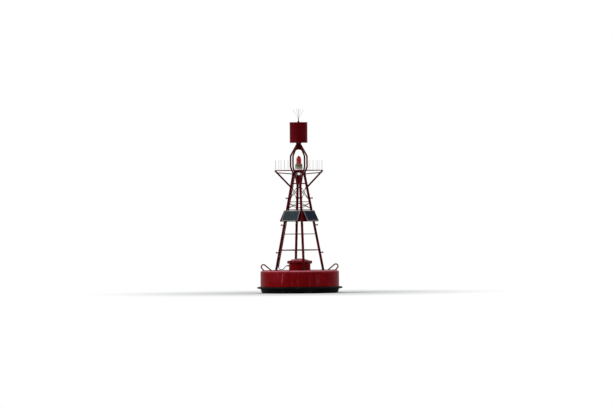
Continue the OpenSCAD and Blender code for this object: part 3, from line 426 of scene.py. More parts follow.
def bearing_line(bearing):
    """A level direction from the buoy's axis, by its bearing in degrees."""
    return Vector((math.cos(math.radians(bearing)), math.sin(math.radians(bearing)), 0))


hull_paint, shader, place, worn = painted(
    "hull_red_gloss", 0.02, Paint=HULL_RED, Salt=HULL_SALT, Fading=0.35, Bleach=0.42, Runs=0.26,
    Chips=0.35, Edges=0.25, Shine=0.24)
# The side's own marks: curved gull runs and a low, redder, brighter band: partly wet splash, partly
# painted light
height = z_of(place)
marks = []
for bearing, top, foot, width, strength in GULL_RUNS:
    sideways = vector_math("DOT_PRODUCT", place, bearing_line(bearing + 90))
    outward = vector_math("DOT_PRODUCT", place, bearing_line(bearing))
    sway = plus(times(calc("SINE", times(height, 7.5)), 0.022),
                patches(place, 14, 3, 0, 1, out=(-0.014, 0.014)))
    off = calc("ABSOLUTE", plus(sideways, sway))
    marks.append(times(span(off, width, width * 0.3), span(height, foot, foot + 0.10),
                       span(height, top, top - 0.04), span(outward, 0.7, 0.8, 0, strength)))
marks = most(*marks)
# Low band: a wet splash band, with painted light that brightens it
splash_and_light = times(span(height, 0.40, 0.24),
            patches(place, 5, 4, 0.42, 0.6, 0.6, stretch=(1, 1, 2.5), out=(0.15, 0.6)))
# The deck's rounded rim takes the strongest painted highlight: pale pink where it turns up to the
# sky
from_axis = vector_math("LENGTH", vector_math("MULTIPLY", place, (1, 1, 0)))
facing_up = z_of(add("NewGeometry", tree=hull_paint.node_tree).outputs["Normal"])
rim_highlight = times(span(from_axis, 1.06, 1.15), span(facing_up, 0.25, 0.85),
            patches(place, 4.5, 6, 0.34, 0.56, 0.6, out=(0.5, 1.0)))
coat = mix(rim_highlight, mix(splash_and_light, worn["Color"], SPLASH_AND_LIGHT_RED), PAINTED_HIGHLIGHT_PINK)
feed(shader, Base_Color=mix(times(marks, 0.45), coat, RUN_PINK),
     Roughness=plus(worn["Roughness"], times(marks, 0.3)))
dress(hull_paint, "hull_upper")


def bead(bm, path, size, closed=True, pitch=0.007):
    """A weld bead along points, each with the direction that it stands out in."""
    stations = []
    length = 0.0
    for i, (spot, out) in enumerate(path):
        length += (spot - path[i - 1][0]).length if i else 0
        swell = 0.08 * math.sin(math.tau * length / pitch) + 0.16 * noise.noise(spot * 60)
        stations.append((spot, out, size * (1 + swell)))
    sweep(bm, stations, 6, closed)


def straight_bead(bm, start, end, count, out, size):
    """A weld bead of a number of points from start to end, standing out one way."""
    bead(bm, [(start.lerp(end, k / (count - 1)), out) for k in range(count)], size, closed=False)


def hoop(radius, height, step, out_up=0.0):
    """Points round the buoy's axis, standing out sideways and by out_up upwards."""
    return [(Vector((radius * c, radius * s, height)), Vector((c, s, out_up)))
            for c, s in spokes(int(math.tau * radius / step))]


bm = bmesh.new()
bead(bm, hoop(HULL_R, DECK_Z - DECK_EDGE_R, 0.014), 0.0042)
bead(bm, hoop(HULL_R - DECK_EDGE_R, DECK_Z, 0.014, 9), 0.0040)
for bearing in SIDE_SEAMS:
    out = bearing_line(bearing)
    straight_bead(bm, out * HULL_R + UP * SIDE_SEAM_FOOT, out * HULL_R + UP * SIDE_SEAM_TOP, 51,
                  out, 0.0042)
for bearing in DECK_SEAMS:
    out = bearing_line(bearing)
    straight_bead(bm, out * DECK_SEAM_IN + UP * DECK_Z, out * DECK_SEAM_OUT + UP * DECK_Z, 101,
                  UP, 0.0040)
hull_seams = solid("hull_seams", bm, hull_paint)
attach(hull_seams, "buoy")

# Bottom and fender
# The bottom is a cone of plate under black antifouling paint that slime and
# a few barnacles have settled on. A moulded rubber ring guards the side.
KNUCKLE_R, KNUCKLE_Z = 1.049, -0.350
CONE_R, CONE_Z = 0.250, -0.620
CONE_SEAMS = range(20, 380, 60)
CONE_SEAM_IN, CONE_SEAM_OUT = 0.262, 1.0432
FENDER_SCREWS, FENDER_SCREW_R = 24, 1.238
FENDER_MIDDLE, FENDER_FLANK = 0.165, 0.0295
SLIME = (0.020, 0.024, 0.014, 1)
SHELL = (0.30, 0.28, 0.24, 1)
bottom_paint, shader, place, worn = painted(
    "antifouling_black", 0.012, Paint=(0.0045, 0.0042, 0.0045, 1), Faded=(0.016, 0.015, 0.016, 1),
    Salt=(0.030, 0.030, 0.030, 1), Rust=(0.030, 0.012, 0.007, 1), Fading=0.6, Bleach=0.0,
    Runs=0.3, Chips=0.6, Edges=0.5, Shine=0.42)
wash = plus(z_of(place), patches(place, 6, 5, 0, 1, out=(-0.05, 0.05)))
slime = times(span(wash, 0.03, -0.06), patches(place, 9, 6, 0.40, 0.66, out=(0.1, 0.85)))
cells = add("TexVoronoi", {"Vector": place, "Scale": 42.0})
barnacle = times(span(cells.outputs["Distance"], 0.30, 0.14),
                 patches(place, 3.2, 3, 0.56, 0.66), span(wash, 0.0, -0.08))
grown = mix(slime, worn["Color"], SLIME)
feed(shader, Base_Color=mix(times(barnacle, 0.7), grown, SHELL),
     Roughness=plus(worn["Roughness"], times(slime, 0.25)))
bump(shader, plus(worn["Height"], times(barnacle, 1.4)), 0.6, 0.003)
dress(bottom_paint, "hull_bottom", "tail_tube", "tail_gussets", "mooring_lug")


def on_cone(out, radius):
    """The point on the bottom's cone in a direction, at a radius."""
    slope = (KNUCKLE_Z - CONE_Z) / (KNUCKLE_R - CONE_R)
    return out * radius + UP * (CONE_Z + (radius - CONE_R) * slope)


bm = bmesh.new()
bead(bm, hoop(KNUCKLE_R + 0.0005, KNUCKLE_Z, 0.014, -0.8), 0.0045)
bead(bm, hoop(CONE_R, CONE_Z, 0.010, -1.2), 0.0045)
for bearing in CONE_SEAMS:
    out = bearing_line(bearing)
    straight_bead(bm, on_cone(out, CONE_SEAM_IN), on_cone(out, CONE_SEAM_OUT), 64, out - UP * 3,
                  0.0042)
bottom_seams = solid("bottom_seams", bm, bottom_paint)
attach(bottom_seams, "buoy")

rubber, shader, place = finish("fender_rubber", Specular_IOR_Level=0.03)
bloom = patches(place, 7, 6, 0.46, 0.72, 0.6)
graze = patches(place, 30, 5, 0.62, 0.74, 0.6, stretch=(1, 1, 6))
black = mix(bloom, (0.0035, 0.0035, 0.0038, 1), (0.012, 0.011, 0.011, 1))
feed(shader, Base_Color=mix(graze, black, (0.045, 0.043, 0.042, 1)),
     Roughness=span(most(bloom, graze), 0, 1, 0.45, 0.75))
crazed = add("TexVoronoi", {"Vector": place, "Scale": 60.0}, feature="DISTANCE_TO_EDGE")
bump(shader, plus(span(crazed.outputs["Distance"], 0.0, 0.06, 0, 0.3),
                  times(cloud(place, 260, 3), 0.4)), 0.35, 0.0015)
dress(rubber, "fender_ring")


def turn_to(direction, spot):
    """A place at a spot whose Z axis points in a direction."""
    return Matrix.Translation(spot) @ direction.to_track_quat("Z", "Y").to_matrix().to_4x4()


def turned(bm, outline, sides, place, closed=False):
    """Turns an outline of (radius, height) round Z; a radius of 0 is one point."""
    skin(bm, [[bm.verts.new(place @ Vector((radius * c, radius * s, height)))
               for c, s in spokes(sides if radius else 1)] for radius, height in outline], closed)


def screw_head(bm, direction, spot, width, washer=True, stud=0.0):
    """A hexagon head on its washer, or a nut with the end of its stud, by width across flats."""
    place = turn_to(direction, spot)
    lift = 0.0
    tall = width * 0.62
    if washer:
        rim_highlight, lift = width * 0.837, width * 0.12
        turned(bm, [(0, 0), (rim_highlight, 0), (rim_highlight, lift * 0.8), (rim_highlight - lift * 0.3, lift), (0, lift)], 24,
               place)
    corner = width / math.sqrt(3)
    turned(bm, [(0, lift), (corner * 0.96, lift), (corner, lift + tall * 0.06),
                (corner, lift + tall * 0.86), (corner * 0.93, lift + tall), (0, lift + tall)], 6,
           place)
    if stud:
        thread = width * 0.31
        top = lift + tall + stud
        turned(bm, [(0, lift + tall), (thread, lift + tall), (thread, top - thread * 0.25),
                    (thread * 0.75, top), (0, top)], 16, place)


# Screws that pull the ring against the side, in washers sunk in its flanks
bm = bmesh.new()
for k in range(FENDER_SCREWS):
    out = bearing_line(360 * (k + 0.5) / FENDER_SCREWS)
    for side in (-1, 1):
        spot = out * FENDER_SCREW_R + UP * (FENDER_MIDDLE + side * FENDER_FLANK)
        screw_head(bm, out * 0.16 + UP * side, spot, 0.013)
fender_screws = solid("fender_screws", bm, bottom_paint)
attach(fender_screws, "buoy")

# Tail and ballast
# A steel tube below the cone keeps the buoy upright. Cast iron rings sit on
# its flange, held down by long through-bolts; the mooring lug is welded below.
TAIL_R = 0.203
FLANGE_Z, FLANGE_FOOT_Z = -2.450, -2.475
BALLAST_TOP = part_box("ballast_rings")[1][2]
BALLAST_BOLTS, BALLAST_BOLT_R = 8, 0.244
GUSSETS, GUSSET_SIDE = 8, 0.0072
GUSSET_TUBE_FOOT, GUSSET_TUBE_TOP = -1.037, -0.6275
GUSSET_CONE_IN, GUSSET_CONE_OUT = 0.262, 0.6834
LUG_HALF, LUG_FACE = 0.1375, 0.0262


def joint_bead(bm, start, along, radius, meet, size, count=24, pitch=0.007):
    """A weld bead where a round bar, from a point on its axis, runs onto a surface."""
    along = along.normalized()
    side = along.orthogonal().normalized()
    up = along.cross(side)
    path = []
    for c, s in spokes(count):
        out = side * c + up * s
        spot, away_from = meet(start + out * radius, along)
        path.append((spot, (out + away_from).normalized()))
    bead(bm, path, size, pitch=pitch)


def to_plane(level):
    """Meets a level surface through a point."""
    def meet(spot, along):
        return spot + along * ((level - spot).z / along.z), UP
    return meet


def to_tube(point, axis, radius):
    """Meets the near side of a round tube."""
    axis = axis.normalized()

    def meet(spot, along):
        gap = spot - point
        gap -= axis * gap.dot(axis)
        step = along - axis * along.dot(axis)
        a, b, c = step.dot(step), gap.dot(step), gap.dot(gap) - radius * radius
        reach = (-b - math.sqrt(max(b * b - a * c, 0))) / a
        return spot + along * reach, (gap + step * reach).normalized()
    return meet


bm = bmesh.new()
bead(bm, hoop(TAIL_R, FLANGE_Z, 0.010, 0.8), 0.0045)
for k in range(GUSSETS):
    out = bearing_line(360 / GUSSETS * (k + 0.5))
    flank = out.cross(UP)
    for side in (-1, 1):
        beside = flank * (side * GUSSET_SIDE)
        foot = out * (TAIL_R + 0.0015) + beside
        straight_bead(bm, foot + UP * GUSSET_TUBE_FOOT, foot + UP * GUSSET_TUBE_TOP, 40,
                      (out + flank * side).normalized(), 0.0042)
        beside -= UP * 0.0025
        straight_bead(bm, on_cone(out, GUSSET_CONE_IN) + beside,
                      on_cone(out, GUSSET_CONE_OUT) + beside, 44, flank * side - UP, 0.0040)
for side in (-1, 1):
    for end in (-1, 1):
        middle = Vector((0, side * LUG_FACE, FLANGE_FOOT_Z - 0.0008))
        straight_bead(bm, middle, middle + Vector((end * LUG_HALF, 0, 0)), 12,
                      Vector((0, side, -1)), 0.0050)
tail_seams = solid("tail_seams", bm, bottom_paint)
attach(tail_seams, "buoy")

iron, shader, place, worn = painted(
    "tarred_cast_iron", 0.1, Paint=(0.012, 0.010, 0.009, 1), Faded=(0.035, 0.024, 0.018, 1),
    Salt=(0.06, 0.045, 0.035, 1), Rust=(0.075, 0.026, 0.011, 1), Fading=0.8, Bleach=0.0,
    Runs=0.35, Chips=1.0, Edges=0.9, Shine=0.5)
pitted = add("TexVoronoi", {"Vector": place, "Scale": 120.0}).outputs["Distance"]
pits = times(span(pitted, 0.1, 0.5), 0.7)
bump(shader, plus(worn["Height"], pits), 0.55, 0.002)
dress(iron, "ballast_rings")

steel, shader, place = finish("weathered_steel", Metallic=1.0)
dulled = patches(place, 55, 6, 0.40, 0.66, 0.65)
stained = patches(place, 24, 5, 0.56, 0.68, 0.65)
grey = mix(dulled, (0.26, 0.26, 0.265, 1), (0.13, 0.13, 0.13, 1))
feed(shader, Base_Color=mix(stained, grey, (0.15, 0.070, 0.035, 1)),
     Metallic=span(stained, 0, 1, 1, 0.35),
     Roughness=span(most(dulled, stained), 0, 1, 0.30, 0.68))
bump(shader, cloud(place, 240, 4), 0.25, 0.0006)

# Long studs through the ballast: a nut on a washer at each end
bm = bmesh.new()
for k in range(BALLAST_BOLTS):
    spot = bearing_line(360 / BALLAST_BOLTS * k) * BALLAST_BOLT_R
    screw_head(bm, UP, spot + UP * BALLAST_TOP, 0.036, stud=0.020)
    screw_head(bm, -UP, spot + UP * FLANGE_FOOT_Z, 0.036, stud=0.014)
ballast_bolts = solid("ballast_bolts", bm, steel)
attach(ballast_bolts, "buoy")

# Pocket and hatch
# The battery pocket's coaming stands on the deck, with a rolled flange. Its
# dished lid is bolted down on a sheet rubber gasket and swings on two ears.
POCKET_R = 0.329
POCKET_SEAMS = (120, 300)
POCKET_SEAM_FOOT, POCKET_SEAM_TOP = 0.6955, 0.9087
LID_BOLTS, LID_BOLT_R, FLANGE_NUT_R = 12, 0.359, 0.3625
LID_TOP = 0.9626
FLANGE_FOOT = 0.914
HINGE_BEARING, EAR_MIDDLE, EAR_SIDE = 45, 0.0425, 0.0065
EAR_FOOT, EAR_TOP, EAR_ROOT_R = 0.826, 0.909, 0.3255
HANDLE_BEARING, HANDLE_FOOT_Y, HANDLE_R = 225, 0.055, 0.0068
# The lid's faces that look up take a strong share of the painted pink highlight
hatch_paint = painted("hatch_red_gloss", 0.02, Paint=HULL_RED, Fading=0.45, Bleach=0.6,
                      Runs=0.45, Chips=0.5, Edges=0.45, Shine=0.26)[0]
gasket = aged(
    "sheet_rubber", (0.008, 0.008, 0.008, 1), (0.035, 0.034, 0.033, 1), patch=(40, 5, 0.45, 0.7),
    grain=(300, 3, 0.3, 0.0005), Specular_IOR_Level=0.3, Roughness=0.6)
crate = aged(
    "crate_plastic", (0.030, 0.034, 0.038, 1), (0.075, 0.078, 0.080, 1),
    patch=(12, 6, 0.42, 0.68), roughness=(0.38, 0.62), grain=(380, 2, 0.3, 0.0005),
    Specular_IOR_Level=0.4)
dress(hatch_paint, "battery_pocket", "hatch_lid", "lid_handle", "hinge_bracket")
dress(steel, "hinge_pin")
dress(gasket, "hatch_gasket")
dress(crate, "battery_crate")

bm = bmesh.new()
bead(bm, hoop(POCKET_R, DECK_Z, 0.012, 0.9), 0.0045)
bead(bm, hoop(POCKET_R, FLANGE_FOOT, 0.012, -0.9), 0.0040)
for bearing in POCKET_SEAMS:
    out = bearing_line(bearing)
    straight_bead(bm, out * POCKET_R + UP * POCKET_SEAM_FOOT, out * POCKET_R + UP * POCKET_SEAM_TOP,
                  27, out, 0.0036)
hinge_out = bearing_line(HINGE_BEARING)
hinge_side = hinge_out.cross(UP)
for side in (-1, 1):
    for face in (-1, 1):
        root = hinge_out * EAR_ROOT_R + hinge_side * (side * EAR_MIDDLE + face * EAR_SIDE)
        straight_bead(bm, root + UP * EAR_FOOT, root + UP * EAR_TOP, 11,
                      (hinge_out + hinge_side * face).normalized(), 0.0034)
pocket_seams = solid("pocket_seams", bm, hatch_paint)
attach(pocket_seams, "buoy")

bolt_lines = [bearing_line(HINGE_BEARING + 360 / LID_BOLTS * (k + 0.5)) for k in range(LID_BOLTS)]
bm = bmesh.new()
for out in bolt_lines:
    screw_head(bm, UP, out * LID_BOLT_R + UP * LID_TOP, 0.030)
lid_bolts = solid("lid_bolts", bm, hatch_paint)
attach(lid_bolts, "hatch")

bm = bmesh.new()
for out in bolt_lines:
    screw_head(bm, -UP, out * FLANGE_NUT_R + UP * FLANGE_FOOT, 0.028, washer=False, stud=0.006)
flange_nuts = solid("flange_nuts", bm, hatch_paint)
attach(flange_nuts, "buoy")

# Beads round the handle's two feet on the lid's rim
bm = bmesh.new()
handle_out = bearing_line(HANDLE_BEARING)
handle_side = handle_out.cross(UP)
for side in (-1, 1):
    foot = handle_out * LID_BOLT_R + handle_side * (side * HANDLE_FOOT_Y) + UP * (LID_TOP + 0.03)
    joint_bead(bm, foot, -UP, HANDLE_R, to_plane(UP * LID_TOP), 0.0026, pitch=0.005)
handle_seams = solid("handle_seams", bm, hatch_paint)
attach(handle_seams, "hatch")

# Lifting eyes
# Two loops of bent round bar on doubler pads, welded to the deck's edge for
# the crane's slings. The slings have rubbed the paint thin on their bends.
EYE_BAR_R = 0.020
EYE_FEET = ((0.890, 1), (1.118, -1))  # place along the pad, and the side that the bar leans to
EYE_PAD_TOP = 0.7023
EYE_BEND = Vector((1.120, 0, 0.805))
EYE_BEND_R = 0.068
PAD_HALF, PAD_BACK, PAD_FROM, PAD_TO = 0.048, 0.890, 0.90, 1.1205
eye_paint, shader, place, worn = painted(
    "eye_red_gloss", 0.02, Paint=HULL_RED, Fading=0.45, Bleach=0.3, Runs=0.3, Chips=0.7,
    Edges=0.5, Shine=0.26)
rubbed = times(span(z_of(place), 0.83, 0.875), patches(place, 34, 5, 0.44, 0.60, 0.65), 0.8)
feed(shader, Base_Color=mix(rubbed, worn["Color"], RUST))
dress(eye_paint, "lifting_eye_left", "lifting_eye_right")

bm = bmesh.new()
for turn in (0, math.pi):
    spin = Matrix.Rotation(turn, 3, "Z")
    for foot_x, lean in EYE_FEET:
        foot = Vector((foot_x, 0, EYE_PAD_TOP))
        arm = foot - EYE_BEND
        angle = math.atan2(arm.z, arm.x) - lean * math.acos(EYE_BEND_R / arm.length)
        touch = EYE_BEND + EYE_BEND_R * Vector((math.cos(angle), 0, math.sin(angle)))
        along = (foot - touch).normalized()
        joint_bead(bm, spin @ (foot - along * 0.03), spin @ along, EYE_BAR_R, to_plane(foot),
                   0.0052, 30)
    corners = [Vector((PAD_BACK - PAD_HALF * math.cos(math.pi * (k / 12 - 0.5)),
                       PAD_HALF * math.sin(math.pi * (k / 12 - 0.5)), DECK_Z)) for k in range(13)]
    corners += [Vector((PAD_FROM + (PAD_TO - PAD_FROM) * k / 15, PAD_HALF, DECK_Z))
                for k in range(16)]
    bead(bm, [(spin @ spot, spin @ Vector((0, 0.6 if spot.y > 0 else -0.6, 0.8)))
              for spot in corners], 0.0042, closed=False)
    straight_bead(bm, spin @ Vector((PAD_FROM, -PAD_HALF, DECK_Z)),
                  spin @ Vector((PAD_TO, -PAD_HALF, DECK_Z)), 16,
                  spin @ Vector((0, -0.6, 0.8)), 0.0042)
eye_seams = solid("eye_seams", bm, eye_paint)
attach(eye_seams, "buoy")

# Tower
# Four tubular legs lean in to a head plate, tied by rings of tube and round
# bar rungs and two bays of crossed rods, with climbing pegs on every leg.
LEG_FOOT_R = 0.729
LEG_TAPER = 0.190674
LEG_TUBE_R = 0.03805
FOOT_TOP, FOOT_HALF = 0.7053, 0.085
FOOT_BEAD_FROM, FOOT_BEAD_TO = -0.0820, 0.0828
HEAD_FOOT, HEAD_TOP = 3.585, 3.5993
RUNGS = ((1.308, 0.017), (1.797, 0.0105), (2.540, 0.0105), (2.779, 0.0105), (3.337, 0.017))
BRACE_BAYS = ((2.570, 2.749), (2.809, 3.262))
BRACE_R = 0.008
PEG_HEIGHTS, PEG_R = (1.232, 2.071, 2.891), 0.016
LEG_BEARINGS = (-90, 0, 90, 180)
CLIP_HEIGHTS = (0.930, 1.480, 2.000, 2.700, 3.050, 3.480)
CONDUIT_BEARING, CLIP_IN, CLIP_R = 180, 0.0549, 0.0166
TOWER_RED = (0.072, 0.0010, 0.0034, 1)
TOWER_FADED = (0.120, 0.0050, 0.0110, 1)
tower_paint, shader, place, worn = painted(
    "tower_red_paint", 0.015, Paint=TOWER_RED, Faded=TOWER_FADED, Fading=0.30, Bleach=0.12,
    Runs=0.22, Chips=0.75, Edges=0.5, Shine=0.34)
# Rust has started where water lies: below the head plate and at the feet
height = z_of(place)
damp = times(plus(span(height, 0.95, 0.70), span(height, 3.45, 3.59)),
             patches(place, 19, 6, 0.50, 0.66, 0.65, stretch=(1, 1, 0.35)), 0.55)
feed(shader, Base_Color=mix(damp, worn["Color"], RUST))
dress(tower_paint, "foot_plates", "leg_front", "leg_right", "leg_back", "leg_left", "rungs_low",
      "rungs_mid", "rungs_skirt", "rungs_upper", "rungs_head", "braces_lower", "braces_upper",
      "climbing_pegs", "head_plate", "guard_struts", "guard_ties", "guard_rail", "cage_bars",
      "cage_crown", "skirt_arms", "conduit")


def leg_point(bearing, z):
    """The centre of a leg at a height."""
    return bearing_line(bearing) * (LEG_FOOT_R - LEG_TAPER * (z - DECK_Z)) + UP * z


def leg_tube(bearing):
    """Meets the near side of a leg."""
    foot, head = leg_point(bearing, DECK_Z), leg_point(bearing, HEAD_FOOT)
    return to_tube(foot, head - foot, LEG_TUBE_R)


def bar_beads(bm, first, second, foot_z, head_z, radius, size, count, pitch=0.007):
    """Beads where a bar from one leg to the next runs onto the two legs."""
    one, two = leg_point(first, foot_z), leg_point(second, head_z)
    middle, toward = (one + two) / 2, (two - one).normalized()
    joint_bead(bm, middle, toward, radius, leg_tube(second), size, count, pitch)
    joint_bead(bm, middle, -toward, radius, leg_tube(first), size, count, pitch)


bm = bmesh.new()
for n, bearing in enumerate(LEG_BEARINGS):
    up_leg = (leg_point(bearing, HEAD_FOOT) - leg_point(bearing, DECK_Z)).normalized()
    joint_bead(bm, leg_point(bearing, 0.9), -up_leg, LEG_TUBE_R, to_plane(UP * FOOT_TOP),
               0.0048, 32)
    joint_bead(bm, leg_point(bearing, 3.4), up_leg, LEG_TUBE_R, to_plane(UP * HEAD_FOOT),
               0.0044, 32)
    after = LEG_BEARINGS[(n + 1) % 4]
    for z, radius in RUNGS:
        bar_beads(bm, bearing, after, z, z, radius, radius * 0.20, 26 if radius > 0.012 else 20)
    for foot_z, head_z in BRACE_BAYS:
        bar_beads(bm, bearing, after, foot_z, head_z, BRACE_R, 0.0022, 18, 0.004)
        bar_beads(bm, after, bearing, foot_z, head_z, BRACE_R, 0.0022, 18, 0.004)
    out, flank = bearing_line(bearing), bearing_line(bearing + 90)
    for z in PEG_HEIGHTS:
        joint_bead(bm, leg_point(bearing, z) + out * 0.08, -out, PEG_R, leg_tube(bearing),
                   0.0034, 22, 0.006)
    for side in (-1, 1):
        for reach, cross in ((out, flank), (flank, out)):
            edge = out * LEG_FOOT_R + reach * (side * FOOT_HALF) + UP * (DECK_Z + 0.001)
            straight_bead(bm, edge + cross * FOOT_BEAD_FROM, edge + cross * FOOT_BEAD_TO, 17,
                          (reach * side + UP).normalized(), 0.0042)
tower_seams = solid("tower_seams", bm, tower_paint)
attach(tower_seams, "buoy")

# Small screws with washers hold the conduit's clips to the leg
dress(steel, "conduit_clips")
bm = bmesh.new()
for z in CLIP_HEIGHTS:
    for side in (-1, 1):
        spot = leg_point(CONDUIT_BEARING, z) + Vector((CLIP_IN, side * CLIP_R, 0.0018))
        screw_head(bm, Vector((0, side, 0)), spot, 0.009)
clip_screws = solid("clip_screws", bm, steel)
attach(clip_screws, "buoy")

# Solar skirt
# Flat bar arms off the legs carry a folded sheet skirt. On each of its faces
# two brackets tilt a framed panel of dark cells under glass up to the sky.
FACE_BEARINGS = (45, 135, 225, 315)
PANEL_MIDDLE_Z = 2.347
PANEL_W, PANEL_H, FRAME_DEEP = 0.575, 0.345, 0.025
BRACKET_Y, BRACKET_T = 0.1725, 0.005
BRACKET_SCREW_Y, BRACKET_SCREW_HEIGHTS = 0.0105, (-0.115, -0.035)
CELL_W, CELL_H, CELL_MIDDLE = 0.0595, 0.0612, 1.87311
CELLS_HALF_W, CELLS_HALF_H = 0.2670, 0.1522
CLAMP_W, CLAMP_T, CLAMP_LIP, CLAMP_GAP = 0.034, 0.003, 0.010, 0.0004
SKIRT_SEAM = ((0.5953, 2.180), (0.4708, 2.514))  # radius and height of its two ends
ARM_HEIGHTS, ARM_HALF, ARM_BEAD = (2.206, 2.480), 0.0045, 0.0184
# The frame's section: distance in from the panel's edge, and from its face
FRAME_SECTION = ((0, -FRAME_DEEP), (0, -0.0014), (0.0014, 0), (0.0160, 0), (0.0172, -0.0010),
                 (0.0180, -0.0030), (0.0180, -0.0065), (0.0100, -0.0065), (0.0100, -FRAME_DEEP))
skirt_paint = painted("skirt_red_paint", 0.015, Paint=TOWER_RED, Faded=TOWER_FADED, Fading=0.40,
                      Bleach=0.1, Runs=0.30, Chips=0.5, Edges=0.5, Shine=0.34)[0]
dress(skirt_paint, "skirt_shell")


def on_faces(reach, lean):
    """Places on the four faces, by the distance out of their middle and the lean in degrees."""
    return [Matrix.Rotation(math.radians(bearing), 4, "Z")
            @ Matrix.Translation((reach, 0, PANEL_MIDDLE_Z))
            @ Matrix.Rotation(math.radians(-lean), 4, "Y") for bearing in FACE_BEARINGS]


SKIRT_FACES = on_faces(0.37693, 14.593)
PANEL_BACKS = on_faces(0.42426, 28)

rail_metal, shader, place = finish("anodised_aluminium", Metallic=1.0)
oxide = patches(place, 42, 6, 0.45, 0.70, 0.6)
drawn = cloud(place, 90, 2, 0.5, (1, 1, 14))
feed(shader, Roughness=span(oxide, 0, 1, 0.32, 0.55),
     Base_Color=mix(oxide, (0.17, 0.170, 0.175, 1), (0.11, 0.105, 0.105, 1)))
bump(shader, plus(drawn, times(oxide, 0.3)), 0.15, 0.0004)
dress(rail_metal, "panel_rails")

# Cells: dark squares with bevelled corners and silver lines, in a pale grid
cells, shader, place = finish("solar_cells", Specular_IOR_Level=0.0, Coat_Roughness=0.06,
                              Coat_IOR=1.45)
facing = add("NewGeometry", tree=cells.node_tree).outputs["True Normal"]
along = vector_math("NORMALIZE", vector_math("CROSS_PRODUCT", UP, facing))
slope = vector_math("CROSS_PRODUCT", facing, along)
reach_u = vector_math("DOT_PRODUCT", place, along)
reach_v = calc("SUBTRACT", vector_math("DOT_PRODUCT", place, slope), CELL_MIDDLE)
column = plus(calc("DIVIDE", reach_u, CELL_W), 0.5)
row = plus(calc("DIVIDE", reach_v, CELL_H), 0.5)
# Shares of a cell off its middle: 0.5 is its edge
off_u, off_v = (calc("ABSOLUTE", calc("SUBTRACT", calc("FRACT", value), 0.5))
                for value in (column, row))
gap = most(span(off_u, 0.468, 0.480), span(off_v, 0.470, 0.482),
           span(plus(off_u, off_v), 0.868, 0.880))
bar = span(calc("ABSOLUTE", calc("SUBTRACT", off_u, 0.19)), 0.016, 0.010)
finger = calc("ABSOLUTE", calc("SUBTRACT", calc("FRACT", times(row, 26)), 0.5))
finger = times(span(finger, 0.12, 0.05), 0.12)
border = most(span(calc("ABSOLUTE", reach_u), CELLS_HALF_W, CELLS_HALF_W + 0.001),
              span(calc("ABSOLUTE", reach_v), CELLS_HALF_H, CELLS_HALF_H + 0.001))
facing_x = add("SeparateXYZ", {0: facing}).outputs["X"]
number = add("CombineXYZ", {"X": calc("FLOOR", column), "Y": calc("FLOOR", row),
                            "Z": calc("ROUND", times(facing_x, 9))}).outputs[0]
shade = add("TexWhiteNoise", {"Vector": number}).outputs["Value"]
grain = add("TexVoronoi", {"Vector": place, "Scale": 130.0}).outputs["Color"]
cell = mix(shade, (0.0032, 0.0075, 0.0180, 1), (0.0060, 0.0120, 0.0280, 1))
cell = mix(0.10, cell, grain, "SOFT_LIGHT")
cell = mix(most(bar, finger), cell, (0.060, 0.068, 0.080, 1))
cell = mix(most(gap, border), cell, (0.035, 0.042, 0.055, 1))
# Salt in patches and painted light: the face that looks to the left front, where the light is
# strongest, is paled the most
left_front_facing = vector_math("DOT_PRODUCT", facing, (-0.69, -0.69, 0.22))
salt_and_painted_glare = times(span(left_front_facing, 0.2, 1.0, 0.03, 0.26),
             patches(place, 7, 5, 0.25, 0.75, 0.6, stretch=(1, 1, 0.5), out=(0.6, 1.0)))
feed(shader, Base_Color=mix(salt_and_painted_glare, cell, (0.095, 0.138, 0.120, 1)),
     Roughness=span(salt_and_painted_glare, 0, 0.5, 0.30, 0.60), Coat_Weight=span(salt_and_painted_glare, 0.0, 0.26, 0.06, 0.04))
dress(cells, "panel_cells")

# Mitred frames of extruded bar, with a rounded lip over the glass
frame_metal, shader, place = finish("frame_aluminium", Metallic=0.7, Specular_IOR_Level=0.2)
dulled = patches(place, 16, 6, 0.42, 0.70, 0.62)
stained = patches(place, 34, 5, 0.60, 0.72, 0.65, stretch=(1, 1, 0.3), out=(0, 0.5))
grey = mix(dulled, (0.14, 0.135, 0.14, 1), (0.075, 0.070, 0.074, 1))
feed(shader, Base_Color=mix(stained, grey, (0.07, 0.055, 0.05, 1)),
     Roughness=span(dulled, 0, 1, 0.42, 0.62))
bump(shader, cloud(place, 300, 3), 0.12, 0.0004)
bm = bmesh.new()
for face in PANEL_BACKS:
    skin(bm, [[bm.verts.new(face @ Vector((
        FRAME_DEEP + depth, side_y * (PANEL_W / 2 - inset), side_z * (PANEL_H / 2 - inset))))
        for inset, depth in FRAME_SECTION]
        for side_y, side_z in ((-1, -1), (1, -1), (1, 1), (-1, 1))], closed=True)
panel_bars = solid("panel_bars", bm, frame_metal)
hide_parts("panel_frames")
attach(panel_bars, "buoy")

# Angle clamps hook over the frames and are screwed to the brackets' ends
bm = bmesh.new()
heads = bmesh.new()
for face in PANEL_BACKS:
    for y in (-BRACKET_Y, BRACKET_Y):
        for side in (-1, 1):
            edge, top = side * (PANEL_H / 2 + CLAMP_GAP), FRAME_DEEP + CLAMP_GAP
            lip, back = edge - side * CLAMP_LIP, edge + side * CLAMP_T
            section = ((edge, -BRACKET_T), (edge, top), (lip, top), (lip, top + CLAMP_T),
                       (back, top + CLAMP_T), (back, -BRACKET_T))
            skin(bm, [[bm.verts.new(face @ Vector((x, y + end * CLAMP_W / 2, z)))
                       for z, x in section] for end in (-1, 1)], closed=False)
            screw_head(heads, face.to_3x3() @ Vector((0, 0, side)),
                       face @ Vector((0.010, y, back)), 0.010)
clamps = solid("panel_clamps", bm, rail_metal)
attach(clamps, "buoy")
